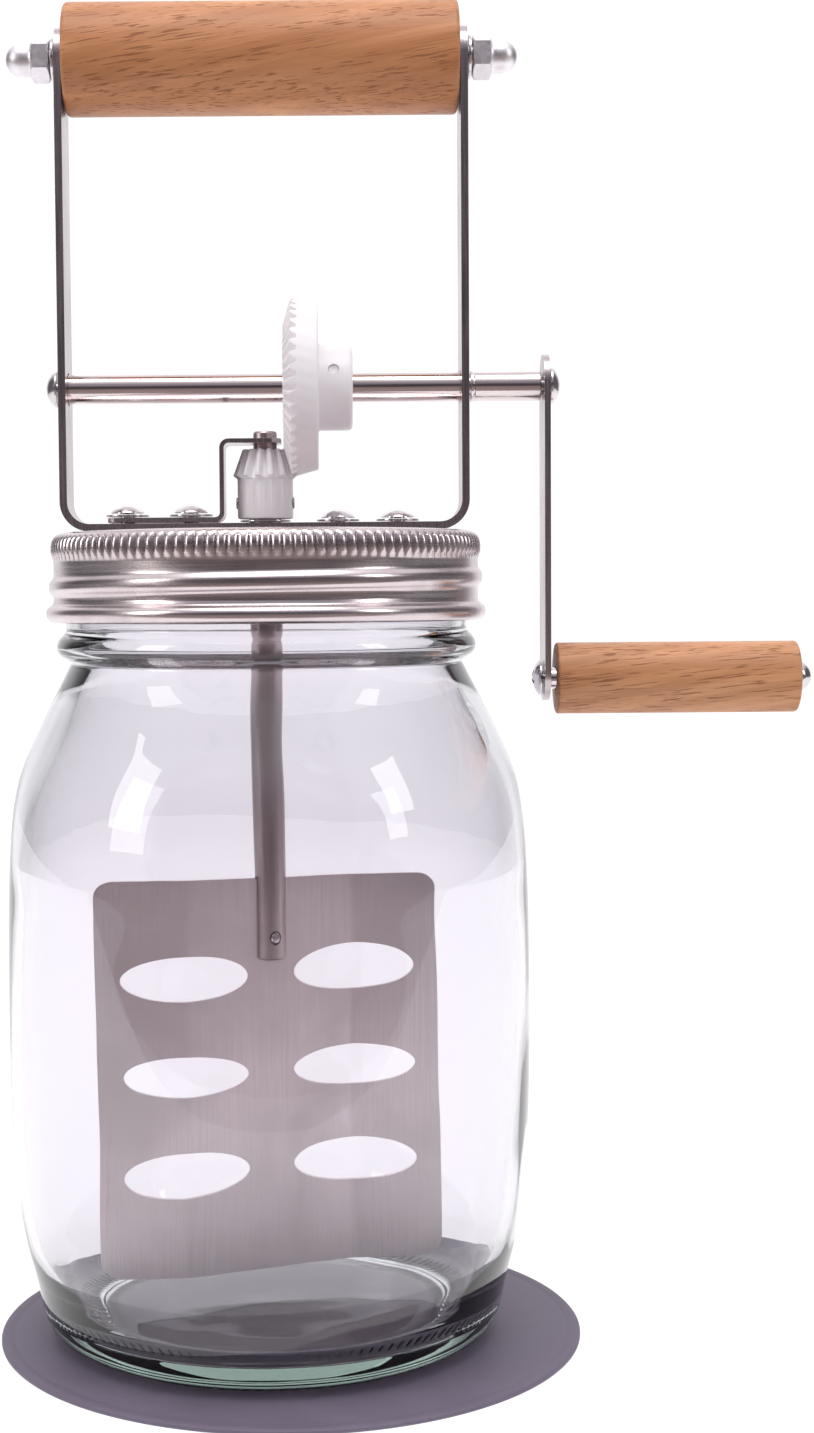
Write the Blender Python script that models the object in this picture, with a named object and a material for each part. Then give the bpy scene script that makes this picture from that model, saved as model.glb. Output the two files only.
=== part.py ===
"""Hand-cranked butter churn on a wide-mouth glass jar.

The origin is on the jar's axis at the underside of the mat, +Z is up, and the crank is on the +X side.
All the dimensions below are in millimetres; the meshes are made in metres.
"""

import math

import bmesh
import bpy
from mathutils import Vector

MM = 0.001
GAP = 0.3  # clearance kept between neighbouring solids

# ---------------------------------------------------------------- mat and jar
MAT_DIAMETER = 119.0
MAT_THICKNESS = 1.2
MAT_OFFSET_X = 3.8  # the jar stands a little off the mat's centre

JAR_FOOT = MAT_THICKNESS + GAP  # height of the jar's contact ring
JAR_CONTACT_R = 41.5
JAR_HEEL_R = 47.4
JAR_BELLY_R = 53.2
JAR_NECK_R = 39.7
JAR_TRANSFER_BEAD_R = 42.5
JAR_FINISH_R = 40.6
JAR_THREAD_R = 41.9
JAR_MOUTH_R = 37.4
JAR_WALL = 3.0
JAR_TOP = 161.8
JAR_BASE_THICKNESS = 4.6
JAR_PUSH_UP = 2.4
JAR_SEGMENTS = 32

# ---------------------------------------------------------------- lid
LID_TOP = 164.4
LID_SHEET = 0.6
LID_KNURL_R = 43.5
LID_WAIST_R = 42.95
LID_THREAD_R = 43.85
LID_BEAD_R = 44.5
LID_BOTTOM = 146.5
LID_SEGMENTS = 32
GASKET_TOP = LID_TOP - LID_SHEET - GAP
GASKET_BOTTOM = JAR_TOP + GAP
GASKET_INNER_R = 37.8
GASKET_OUTER_R = 41.0

# ---------------------------------------------------------------- carrying frame
STRIP_WIDTH = 12.4
STRIP_THICKNESS = 1.5
FRAME_HALF_SPAN = 41.1  # outer face of each upright
FRAME_FLOOR = LID_TOP + GAP  # underside of the strip on the lid
FRAME_BEND_R = 5.2  # at the strip's middle surface
HANDLE_Z = 259.2
SHAFT_Z = 193.5

# ---------------------------------------------------------------- top handle
HANDLE_R = 11.15
HANDLE_EDGE = 0.9
HANDLE_ROD_R = 2.5
NUT_ACROSS_FLATS = 8.0
NUT_HEX_LENGTH = 3.7
NUT_LENGTH = 9.0
NUT_WASHER = 0.6

# ---------------------------------------------------------------- gears
MODULE = 0.85
PINION_TEETH = 14
GEAR_TEETH = 42
PRESSURE_ANGLE = math.radians(25)
ADDENDUM = 0.65 * MODULE
DEDENDUM = 0.95 * MODULE
BACKLASH = 0.12  # taken off each tooth at the pitch cone
FACE_RATIO = 0.70  # small end's distance from the apex over the large end's

PINION_HUB_R = 5.64
PINION_HUB_BOTTOM = 167.1
GEAR_BACK_X = 10.9
GEAR_HUB_R = 8.65
GEAR_HUB_END_X = 17.8
GEAR_FRONT_X = 3.85

# ---------------------------------------------------------------- shafts
DRIVE_R = 3.0
DRIVE_LEFT_X = -41.2
ARM_INNER_X = 56.2
ARM_THICKNESS = 1.2
ARM_WIDTH = 11.6
ARM_TOP_Z = 199.8
ARM_BOTTOM_Z = 129.8
SCREW_R = 1.5

ROD_R = 3.25
ROD_BOTTOM = 76.9
ROD_SHOULDER = 175.4
JOURNAL_R = 2.4
JOURNAL_TOP = 184.8

# ---------------------------------------------------------------- pinion bracket
BRACKET_SHEET = 0.9
BRACKET_WIDTH = 11.0
BRACKET_TOP = 183.1
BRACKET_LEG_X = -9.05
BRACKET_FOOT_X = -31.75
BRACKET_END_X = 3.3

# ---------------------------------------------------------------- rivets
RIVET_X = (-28.0, -15.1, 14.7, 26.8)
RIVET_HEAD_R = 3.45
RIVET_WASHER_R = 4.4
RIVET_SHANK_R = 1.5

# ---------------------------------------------------------------- paddle
PADDLE_BOTTOM = 13.0
PADDLE_TOP = 94.6
PADDLE_SHEET = 1.0
PADDLE_PANEL_HALF = 18.0  # from the axis to each fold
PADDLE_PANEL_ANGLE = math.radians(20.5)
PADDLE_WING = 18.2
PADDLE_WING_ANGLE = math.radians(5.0)
PADDLE_CORNER_R = 4.0
PADDLE_SLOT_X = 17.4
PADDLE_SLOT_SIZE = (12.5, 4.4)  # half axes of the oval holes
PADDLE_SLOT_PITCH = 20.3
PIN_Z = 81.0
PIN_R = 1.0

# ---------------------------------------------------------------- crank grip
GRIP_Z = 134.3
GRIP_R = 7.25
GRIP_START_X = 58.8
GRIP_END_X = 107.8
GRIP_EDGE = 0.5
SPINDLE_R = 2.2
SPINDLE_HOLE_R = 1.4
SPINDLE_SCREW_R = 1.1


# ---------------------------------------------------------------- helpers
def material(name, colour, roughness, metallic, transmission=0.0):
    made = bpy.data.materials.new(name)
    made.use_nodes = True
    shader = made.node_tree.nodes["Principled BSDF"]
    shader.inputs["Base Color"].default_value = (*colour, 1)
    shader.inputs["Roughness"].default_value = roughness
    shader.inputs["Metallic"].default_value = metallic
    shader.inputs["Transmission Weight"].default_value = transmission
    return made


def pivot(name, location, parent=None):
    """An empty on a joint's axis. The location is in the world, in millimetres."""
    empty = bpy.data.objects.new(name, None)
    bpy.context.scene.collection.objects.link(empty)
    place = Vector(location)
    if parent:
        empty.parent = parent
        place = place - Vector(parent["at"])
    empty.location = place * MM
    empty["at"] = [float(v) for v in location]
    return empty


def finish(name, bm, look, parent, smooth=True):
    """Turns a bmesh in world millimetres into an object whose origin is on its parent's axis."""
    bmesh.ops.recalc_face_normals(bm, faces=bm.faces)
    if bm.calc_volume(signed=True) < 0:
        bmesh.ops.reverse_faces(bm, faces=bm.faces)
    origin = Vector(parent["at"]) if parent else Vector((0, 0, 0))
    for vert in bm.verts:
        vert.co = (vert.co - origin) * MM
    mesh = bpy.data.meshes.new(name)
    bm.to_mesh(mesh)
    bm.free()
    if look:
        mesh.materials.append(look)
    if smooth:
        mesh.shade_smooth()
        mesh.set_sharp_from_angle(angle=math.radians(35))
    made = bpy.data.objects.new(name, mesh)
    bpy.context.scene.collection.objects.link(made)
    if parent:
        made.parent = parent
    return made


def along(axis, centre, radius, angle, travel):
    """A point at a radius, an angle and a travel along X, Y or Z from a centre."""
    a, b = radius * math.cos(angle), radius * math.sin(angle)
    offset = {"X": (travel, a, b), "Y": (b, travel, a), "Z": (a, b, travel)}[axis]
    return Vector(centre) + Vector(offset)


def loft(bm, rings, cyclic=False):
    """Joins rings of points, each a whole multiple of the next or a single point, into one skin."""
    made = [[bm.verts.new(point) for point in ring] for ring in rings]
    pairs = list(zip(made, made[1:])) + ([(made[-1], made[0])] if cyclic else [])
    for first, second in pairs:
        if len(first) < len(second):
            first, second = second, first
        n, m = len(first), len(second)
        step = n // m
        for i in range(n):
            j = (i + 1) % n
            if m == 1:
                bm.faces.new((first[i], first[j], second[0]))
                continue
            near = second[((i + step // 2) // step) % m]
            far = second[((i + 1 + step // 2) // step) % m]
            if near is far:
                bm.faces.new((first[i], first[j], near))
            elif step == 1:
                bm.faces.new((first[i], first[j], far, near))
            else:
                bm.faces.new((first[i], first[j], near))
                bm.faces.new((first[j], far, near))


def turned(name, profile, look, parent, axis="Z", centre=(0, 0, 0), segments=32, closed=False):
    """A solid of revolution. The profile is (radius, travel) points; it is closed on itself, or it ends on the axis."""
    bm = bmesh.new()
    rings = []
    for radius, travel in profile:
        if radius == 0:
            rings.append([along(axis, centre, 0, 0, travel)])
        else:
            rings.append(
                [
                    along(axis, centre, radius, 2 * math.pi * i / segments, travel)
                    for i in range(segments)
                ]
            )
    loft(bm, rings, cyclic=closed)
    return finish(name, bm, look, parent)


def tube(name, inner, outer, start, end, look, parent, axis="Z", centre=(0, 0, 0), segments=32, edge=0.0):
    """A plain bush, washer or sleeve, with an optional chamfer on its outer edges."""
    profile = [(inner, start), (inner, end)]
    if edge:
        profile += [(outer - edge, end), (outer, end - edge), (outer, start + edge), (outer - edge, start)]
    else:
        profile += [(outer, end), (outer, start)]
    return turned(name, profile, look, parent, axis, centre, segments, closed=True)


def dome(radius, base, height, steps=3):
    """Profile points of a low dome from its rim to its crown; a negative height faces the other way."""
    ball = (radius**2 + height**2) / (2 * abs(height))
    span = math.asin(min(1.0, radius / ball))
    if abs(height) > radius:
        span = math.pi - span
    sign = 1 if height > 0 else -1
    points = []
    for i in range(steps + 1):
        angle = span * (1 - i / steps)
        rise = abs(height) - ball * (1 - math.cos(angle))
        points.append((ball * math.sin(angle) if i < steps else 0, base + sign * rise))
    return points


def filleted(points, radii, steps=5):
    """A polyline in the plane with its inner corners rounded."""
    path = [Vector(points[0])]
    for before, corner, after, radius in zip(points, points[1:], points[2:], radii):
        corner = Vector(corner)
        back = (Vector(before) - corner).normalized()
        forth = (Vector(after) - corner).normalized()
        half = math.acos(max(-1.0, min(1.0, back.dot(forth)))) / 2
        reach = radius / math.tan(half)
        centre = corner + (back + forth).normalized() * (radius / math.sin(half))
        start = (corner + back * reach - centre).normalized()
        end = (corner + forth * reach - centre).normalized()
        for i in range(steps + 1):
            path.append(centre + start.slerp(end, i / steps) * radius)
    path.append(Vector(points[-1]))
    return path


def strip(name, path, width, thickness, end_radius, look, parent, to_world, end_steps=5):
    """A bent strip of sheet metal with rounded ends. The path is the middle surface, and to_world turns (u, v, across) into a point."""
    sections = []
    lengths = [0.0]
    for a, b in zip(path, path[1:]):
        lengths.append(lengths[-1] + (b - a).length)
    total = lengths[-1]
    stations = set(lengths)
    for i in range(1, end_steps + 1):
        s = end_radius * (1 - math.cos(math.pi / 2 * i / end_steps))
        stations |= {s, total - s}
    stations = sorted(stations)
    merged = [stations[0]]
    for s in stations[1:]:
        if s - merged[-1] > 0.02:
            merged.append(s)
    merged[-1] = total
    for s in merged:
        k = max(i for i in range(len(lengths) - 1) if lengths[i] <= s + 1e-9)
        mix = (s - lengths[k]) / (lengths[k + 1] - lengths[k])
        point = path[k].lerp(path[k + 1], mix)
        tangent = (path[k + 1] - path[k]).normalized()
        stretch = 1.0
        if mix < 1e-6 and k > 0:
            previous = (path[k] - path[k - 1]).normalized()
            bisector = (tangent + previous).normalized()
            stretch = 1 / bisector.dot(tangent)
            tangent = bisector
        normal = Vector((-tangent.y, tangent.x)) * stretch
        inset = min(s, total - s)
        half = width / 2
        if inset < end_radius:
            half += math.sqrt(max(0.0, end_radius**2 - (end_radius - inset) ** 2)) - end_radius
        half = max(half, 0.4)
        low, high = point - normal * thickness / 2, point + normal * thickness / 2
        sections.append(
            [
                to_world(low.x, low.y, -half),
                to_world(low.x, low.y, half),
                to_world(high.x, high.y, half),
                to_world(high.x, high.y, -half),
            ]
        )
    bm = bmesh.new()
    loft(bm, sections)
    bm.verts.ensure_lookup_table()
    bm.faces.new([bm.verts[i] for i in range(4)])
    bm.faces.new([bm.verts[i] for i in range(len(bm.verts) - 4, len(bm.verts))])
    return finish(name, bm, look, parent)


def cutter(name, axis, centre, radius, start, end, segments=16, squash=1.0, parent=None):
    """A hidden cylinder that a Boolean takes away. squash flattens it in Z when it lies along Y."""
    bm = bmesh.new()
    rings = [[along(axis, centre, 0, 0, start)]]
    for travel in (start, end):
        ring = [along(axis, centre, radius, 2 * math.pi * (i + 0.37) / segments, travel) for i in range(segments)]
        for point in ring:
            point.z = centre[2] + (point.z - centre[2]) * squash if axis == "Y" else point.z
        rings.append(ring)
    rings.append([along(axis, centre, 0, 0, end)])
    loft(bm, rings)
    made = finish(name, bm, None, parent, smooth=False)
    made.hide_render = True
    made.display_type = "WIRE"
    return made


def block(name, low, high, turn=0.0):
    """A hidden box that a Boolean takes away, turned about Z."""
    bm = bmesh.new()
    bmesh.ops.create_cube(bm, size=1)
    for vert in bm.verts:
        for i in range(3):
            vert.co[i] = (low[i] + high[i]) / 2 + vert.co[i] * (high[i] - low[i])
        x, y = vert.co.x, vert.co.y
        vert.co.x = x * math.cos(turn) - y * math.sin(turn)
        vert.co.y = x * math.sin(turn) + y * math.cos(turn)
    made = finish(name, bm, None, None, smooth=False)
    made.hide_render = True
    made.display_type = "WIRE"
    return made


def cut(target, *tools):
    for tool in tools:
        modifier = target.modifiers.new(tool.name, "BOOLEAN")
        modifier.operation = "DIFFERENCE"
        modifier.solver = "EXACT"
        modifier.object = tool


def smooth_curve(stations, steps):
    """A Catmull-Rom curve through design stations (radius, height)."""
    points = [Vector(s) for s in stations]
    padded = [points[0] * 2 - points[1], *points, points[-1] * 2 - points[-2]]
    curve = []
    for a, b, c, d in zip(padded, padded[1:], padded[2:], padded[3:]):
        for i in range(steps):
            t = i / steps
            curve.append(
                0.5 * (2 * b + (c - a) * t + (2 * a - 5 * b + 4 * c - d) * t**2 + (3 * b - a - 3 * c + d) * t**3)
            )
    curve.append(points[-1])
    return [(p.x, p.y) for p in curve]


def tooth_ring(teeth, mate_teeth, scale, place, phase):
    """One ring of a bevel gear's tooth outline, six points to a tooth, on the back cone at a scale from the apex.

    place turns (radius, distance from the apex along the gear's axis, angle) into a point."""
    cone = math.atan(teeth / mate_teeth)
    pitch_r = MODULE * teeth / 2
    back_r = pitch_r / math.cos(cone)
    base_r = back_r * math.cos(PRESSURE_ANGLE)

    def involute(angle):
        return math.tan(angle) - angle

    def outline(offset):
        flank = max(back_r + offset, base_r)
        at = math.acos(base_r / flank)
        half = (math.pi * MODULE / 2 - BACKLASH) / (2 * back_r) + involute(PRESSURE_ANGLE) - involute(at)
        radius = pitch_r + offset * math.cos(cone)
        distance = pitch_r / math.tan(cone) - offset * math.sin(cone)
        return radius * scale, distance * scale, half * (back_r + offset) / radius

    root = outline(-DEDENDUM)
    flank = outline(-0.1 * DEDENDUM)
    tip = outline(ADDENDUM)
    ring = []
    for i in range(teeth):
        middle = phase + 2 * math.pi * i / teeth
        for sign, order in ((-1, (root, flank, tip)), (1, (tip, flank, root))):
            for radius, distance, half in order:
                ring.append(place(radius, distance, middle + sign * half))
    return ring


# ---------------------------------------------------------------- clear the scene
for old in list(bpy.data.objects):
    bpy.data.objects.remove(old, do_unlink=True)

steel = material("satin_stainless", (0.60, 0.57, 0.57), 0.30, 1.0)
sheet_steel = material("brushed_sheet_stainless", (0.56, 0.52, 0.51), 0.36, 1.0)
bright_steel = material("bright_stainless", (0.72, 0.71, 0.71), 0.16, 1.0)
beech = material("oiled_beech", (0.62, 0.33, 0.16), 0.45, 0.0)
nylon = material("natural_nylon", (0.86, 0.86, 0.85), 0.38, 0.0)
glass = material("clear_glass", (0.93, 0.95, 0.94), 0.03, 0.0, 1.0)
silicone = material("grey_silicone", (0.20, 0.18, 0.20), 0.62, 0.0)
seal_rubber = material("white_silicone", (0.82, 0.82, 0.80), 0.55, 0.0)

# Pivots: the jar stands still, the lid lifts and turns, the dasher turns on Z, and the crank and its grip on X.
jar_base = pivot("jar_base", (0, 0, 0))
lid_axis = pivot("lid_axis", (0, 0, LID_TOP), jar_base)
dasher_axis = pivot("dasher_axis", (0, 0, SHAFT_Z), lid_axis)
crank_axis = pivot("crank_axis", (0, 0, SHAFT_Z), lid_axis)
grip_axis = pivot("grip_axis", (GRIP_START_X, 0, GRIP_Z), crank_axis)

# ---------------------------------------------------------------- mat
mat_r = MAT_DIAMETER / 2
turned(
    "base_mat",
    [(0, 0), (mat_r - 0.3, 0), (mat_r, 0.35), (mat_r, MAT_THICKNESS - 0.4), (mat_r - 0.4, MAT_THICKNESS), (0, MAT_THICKNESS)],
    silicone,
    jar_base,
    centre=(MAT_OFFSET_X, 0, 0),
    segments=48,
)

# ---------------------------------------------------------------- glass jar
outside = smooth_curve(
    [
        (JAR_CONTACT_R, JAR_FOOT),
        (JAR_HEEL_R - 1.2, JAR_FOOT + 3.2),
        (JAR_HEEL_R + 1.0, JAR_FOOT + 11.6),
        (JAR_BELLY_R - 2.0, JAR_FOOT + 24),
        (JAR_BELLY_R - 0.3, JAR_FOOT + 44),
        (JAR_BELLY_R, JAR_FOOT + 72),
        (JAR_BELLY_R - 0.5, JAR_FOOT + 96),
        (JAR_BELLY_R - 2.3, JAR_FOOT + 112),
        (JAR_BELLY_R - 7.1, JAR_FOOT + 124),
        (JAR_NECK_R + 2.3, JAR_FOOT + 132),
        (JAR_NECK_R, JAR_FOOT + 136.6),
    ],
    2,
)
outside += [
    (JAR_TRANSFER_BEAD_R - 0.9, JAR_FOOT + 138.2),
    (JAR_TRANSFER_BEAD_R, JAR_FOOT + 140.2),
    (JAR_TRANSFER_BEAD_R - 0.8, JAR_FOOT + 142.0),
    (JAR_FINISH_R, JAR_FOOT + 143.2),
    (JAR_FINISH_R, JAR_FOOT + 149.0),
    (JAR_THREAD_R, JAR_FOOT + 150.2),
    (JAR_THREAD_R, JAR_FOOT + 152.4),
    (JAR_FINISH_R, JAR_FOOT + 153.6),
    (JAR_FINISH_R, JAR_TOP - 1.0),
    (JAR_FINISH_R - 1.0, JAR_TOP),
]
inside = [
    (JAR_MOUTH_R + 0.8, JAR_TOP),
    (JAR_MOUTH_R, JAR_TOP - 0.8),
]
inside += smooth_curve(
    [
        (JAR_MOUTH_R, JAR_FOOT + 138.0),
        (JAR_NECK_R + 1.2 - JAR_WALL + 0.6, JAR_FOOT + 131.0),
        (JAR_BELLY_R - 7.6 - JAR_WALL, JAR_FOOT + 122.5),
        (JAR_BELLY_R - 2.4 - JAR_WALL, JAR_FOOT + 111),
        (JAR_BELLY_R - JAR_WALL, JAR_FOOT + 84),
        (JAR_BELLY_R - JAR_WALL, JAR_FOOT + 56),
        (JAR_BELLY_R - 2.0 - JAR_WALL, JAR_FOOT + 25),
        (JAR_HEEL_R - 0.2 - JAR_WALL, JAR_FOOT + 12),
        (JAR_HEEL_R - 8.4, JAR_FOOT + JAR_BASE_THICKNESS + 0.9),
    ],
    1,
)
inside += [
    (JAR_HEEL_R - 14, JAR_FOOT + JAR_BASE_THICKNESS + 0.3),
    (0, JAR_FOOT + JAR_BASE_THICKNESS + JAR_PUSH_UP),
]
underside = [
    (0, JAR_FOOT + JAR_PUSH_UP),
    (JAR_CONTACT_R - 10, JAR_FOOT + 0.8 * JAR_PUSH_UP),
    (JAR_CONTACT_R - 3.4, JAR_FOOT + 0.9),
    (JAR_CONTACT_R - 2.2, JAR_FOOT),
]
turned("glass_jar", [*underside, *outside, *inside], glass, jar_base, segments=JAR_SEGMENTS)

# ---------------------------------------------------------------- lid seal
tube("lid_gasket", GASKET_INNER_R, GASKET_OUTER_R, GASKET_BOTTOM, GASKET_TOP, seal_rubber, lid_axis, segments=32)

# ---------------------------------------------------------------- screw lid
BUSH_HOLE_R = 4.9
skin = [
    (BUSH_HOLE_R, LID_TOP),
    (LID_KNURL_R - 1.9, LID_TOP),
    (LID_KNURL_R - 0.5, LID_TOP - 0.6),
    (LID_KNURL_R, LID_TOP - 2.0),
    (LID_KNURL_R, LID_TOP - 4.4),
    (LID_WAIST_R, LID_TOP - 5.4),
    (LID_WAIST_R, LID_TOP - 7.2),
    (LID_THREAD_R, LID_TOP - 9.0),
    (LID_THREAD_R, LID_TOP - 11.0),
    (LID_WAIST_R + 0.1, LID_TOP - 12.8),
    (LID_WAIST_R + 0.2, LID_TOP - 13.6),
    (LID_BEAD_R - 0.4, LID_TOP - 14.6),
    (LID_BEAD_R, LID_BOTTOM + 1.8),
    (LID_BEAD_R - 0.4, LID_BOTTOM + 0.4),
    (LID_BEAD_R - 1.0, LID_BOTTOM),
    (LID_BEAD_R - 1.8, LID_BOTTOM + 0.5),
    (LID_BEAD_R - 1.9, LID_BOTTOM + 2.6),
    (LID_WAIST_R - LID_SHEET, LID_TOP - 13.4),
    (LID_THREAD_R - LID_SHEET, LID_TOP - 11.2),
    (LID_THREAD_R - LID_SHEET, LID_TOP - 8.8),
    (LID_WAIST_R - LID_SHEET, LID_TOP - 6.9),
    (LID_KNURL_R - LID_SHEET, LID_TOP - 4.2),
    (LID_KNURL_R - LID_SHEET, LID_TOP - 2.0),
    (LID_KNURL_R - 2.1, LID_TOP - LID_SHEET),
    (BUSH_HOLE_R, LID_TOP - LID_SHEET),
]
lid = turned("screw_lid", skin, steel, lid_axis, segments=LID_SEGMENTS, closed=True)

# ---------------------------------------------------------------- carrying frame: one strip bent to a U
middle_x = FRAME_HALF_SPAN - STRIP_THICKNESS / 2
middle_z = FRAME_FLOOR + STRIP_THICKNESS / 2
frame_top = HANDLE_Z + STRIP_WIDTH / 2
frame = strip(
    "frame",
    filleted(
        [(-middle_x, frame_top), (-middle_x, middle_z), (middle_x, middle_z), (middle_x, frame_top)],
        [FRAME_BEND_R, FRAME_BEND_R],
    ),
    STRIP_WIDTH,
    STRIP_THICKNESS,
    STRIP_WIDTH / 2,
    sheet_steel,
    lid_axis,
    lambda u, v, across: Vector((u, across, v)),
)
for side, sign in (("left", -1), ("right", 1)):
    span = sorted((sign * (FRAME_HALF_SPAN + 3), sign * (FRAME_HALF_SPAN - 5)))
    cut(
        frame,
        cutter(f"cut_frame_shaft_{side}", "X", (0, 0, SHAFT_Z), DRIVE_R + GAP, *span),
        cutter(f"cut_frame_rod_{side}", "X", (0, 0, HANDLE_Z), HANDLE_ROD_R + GAP, *span),
    )
cut(frame, cutter("cut_frame_bush", "Z", (0, 0, 0), BUSH_HOLE_R, FRAME_FLOOR - 2, FRAME_FLOOR + 4))

# ---------------------------------------------------------------- pinion bracket: a Z of thin sheet
foot_z = FRAME_FLOOR + STRIP_THICKNESS + GAP + BRACKET_SHEET / 2
bracket_top_z = BRACKET_TOP - BRACKET_SHEET / 2
leg_x = BRACKET_LEG_X + BRACKET_SHEET / 2
bracket = strip(
    "pinion_bracket",
    filleted(
        [(BRACKET_FOOT_X, foot_z), (leg_x, foot_z), (leg_x, bracket_top_z), (BRACKET_END_X, bracket_top_z)],
        [1.4, 1.4],
        4,
    ),
    BRACKET_WIDTH,
    BRACKET_SHEET,
    2.2,
    sheet_steel,
    lid_axis,
    lambda u, v, across: Vector((u, across, v)),
    3,
)
cut(bracket, cutter("cut_bracket_journal", "Z", (0, 0, 0), JOURNAL_R + GAP, BRACKET_TOP - 4, BRACKET_TOP + 3))

# ---------------------------------------------------------------- rivets, each with a thin washer under its head
for number, x in enumerate(RIVET_X, 1):
    on_bracket = x < 0
    seat = FRAME_FLOOR + STRIP_THICKNESS + GAP + (BRACKET_SHEET + GAP if on_bracket else 0)
    hole = cutter(f"cut_rivet_{number}", "Z", (x, 0, 0), RIVET_SHANK_R + GAP, LID_TOP - 4, seat + 3, 16)
    cut(lid, hole)
    cut(frame, hole)
    if on_bracket:
        cut(bracket, hole)
    tube(f"rivet_washer_{number}", RIVET_SHANK_R + GAP, RIVET_WASHER_R, seat, seat + 0.4, bright_steel, lid_axis, centre=(x, 0, 0), segments=16)
    head = seat + 0.4 + GAP
    tail = LID_TOP - LID_SHEET - GAP
    turned(
        f"rivet_{number}",
        [
            (0, tail - 1.1),
            (2.0, tail - 0.9),
            (2.6, tail - 0.3),
            (2.6, tail),
            (RIVET_SHANK_R, tail),
            (RIVET_SHANK_R, head),
            *dome(RIVET_HEAD_R, head, 1.85),
        ],
        bright_steel,
        lid_axis,
        centre=(x, 0, 0),
        segments=14,
    )

# ---------------------------------------------------------------- bush through the lid for the dasher's rod
turned(
    "shaft_bushing",
    [
        (ROD_R + GAP, LID_TOP - LID_SHEET - GAP - 1.2),
        (8.0, LID_TOP - LID_SHEET - GAP - 1.2),
        (8.0, LID_TOP - LID_SHEET - GAP),
        (BUSH_HOLE_R - GAP, LID_TOP - LID_SHEET - GAP),
        (BUSH_HOLE_R - GAP, FRAME_FLOOR + STRIP_THICKNESS),
        (ROD_R + GAP, FRAME_FLOOR + STRIP_THICKNESS),
    ],
    nylon,
    lid_axis,
    segments=20,
    closed=True,
)

# ---------------------------------------------------------------- top handle, its rod, washers and acorn nuts
handle_half = FRAME_HALF_SPAN - STRIP_THICKNESS - GAP
tube("top_handle", HANDLE_ROD_R + GAP, HANDLE_R, -handle_half, handle_half, beech, lid_axis, "X", (0, 0, HANDLE_Z), 32, HANDLE_EDGE)
nut_start = FRAME_HALF_SPAN + GAP + NUT_WASHER + GAP
rod_half = nut_start + NUT_LENGTH - 2.6
turned(
    "handle_rod",
    [
        (0, -rod_half),
        (HANDLE_ROD_R - 0.5, -rod_half),
        (HANDLE_ROD_R, -rod_half + 0.5),
        (HANDLE_ROD_R, rod_half - 0.5),
        (HANDLE_ROD_R - 0.5, rod_half),
        (0, rod_half),
    ],
    steel,
    lid_axis,
    "X",
    (0, 0, HANDLE_Z),
    16,
)


def hexagon(x, reach, sides=12):
    """A ring of points on a hexagon that stands on a corner, about the handle's axis."""
    ring = []
    for i in range(sides):
        angle = 2 * math.pi * i / sides
        fold = (angle + math.pi / 6) % (math.pi / 3) - math.pi / 6
        ring.append(along("X", (0, 0, HANDLE_Z), reach / math.cos(fold), angle, x))
    return ring


def acorn_nut(name, sign):
    def ring(radius, travel):
        x = sign * (nut_start + travel)
        if radius == 0:
            return [along("X", (0, 0, HANDLE_Z), 0, 0, x)]
        return [along("X", (0, 0, HANDLE_Z), radius, 2 * math.pi * i / 12, x) for i in range(12)]

    flat = NUT_ACROSS_FLATS / 2
    bore = HANDLE_ROD_R + GAP
    depth = rod_half - nut_start + GAP
    rings = [ring(0, depth), ring(bore, depth), ring(bore, 0), ring(flat - 0.1, 0)]
    rings += [hexagon(sign * (nut_start + 0.45), flat), hexagon(sign * (nut_start + NUT_HEX_LENGTH - 0.45), flat)]
    rings += [ring(flat - 0.1, NUT_HEX_LENGTH), ring(3.45, NUT_HEX_LENGTH + 0.3), ring(3.3, NUT_HEX_LENGTH + 2.2)]
    rings += [ring(r, t) for r, t in dome(3.3, NUT_HEX_LENGTH + 2.2, NUT_LENGTH - NUT_HEX_LENGTH - 2.2)[1:]]
    bm = bmesh.new()
    loft(bm, rings)
    return finish(name, bm, bright_steel, lid_axis)


for side, sign in (("left", -1), ("right", 1)):
    faces = sorted((sign * (FRAME_HALF_SPAN + GAP), sign * (FRAME_HALF_SPAN + GAP + NUT_WASHER)))
    tube(f"handle_washer_{side}", HANDLE_ROD_R + GAP, 4.4, *faces, steel, lid_axis, "X", (0, 0, HANDLE_Z), 16)
    acorn_nut(f"acorn_nut_{side}", sign)

# ---------------------------------------------------------------- dasher rod: slotted foot, shoulder and top journal
rod = turned(
    "paddle_shaft",
    [
        (0, ROD_BOTTOM),
        (ROD_R - 0.4, ROD_BOTTOM),
        (ROD_R, ROD_BOTTOM + 0.4),
        (ROD_R, ROD_SHOULDER),
        (JOURNAL_R, ROD_SHOULDER),
        (JOURNAL_R, JOURNAL_TOP - 0.5),
        (JOURNAL_R - 0.5, JOURNAL_TOP),
        (0, JOURNAL_TOP),
    ],
    steel,
    dasher_axis,
    segments=20,
)
half_slot = PADDLE_SHEET / 2 + GAP
cut(
    rod,
    block("cut_rod_slot", (-8, -half_slot, ROD_BOTTOM - 4), (8, half_slot, PADDLE_TOP + GAP), PADDLE_PANEL_ANGLE),
)

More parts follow.
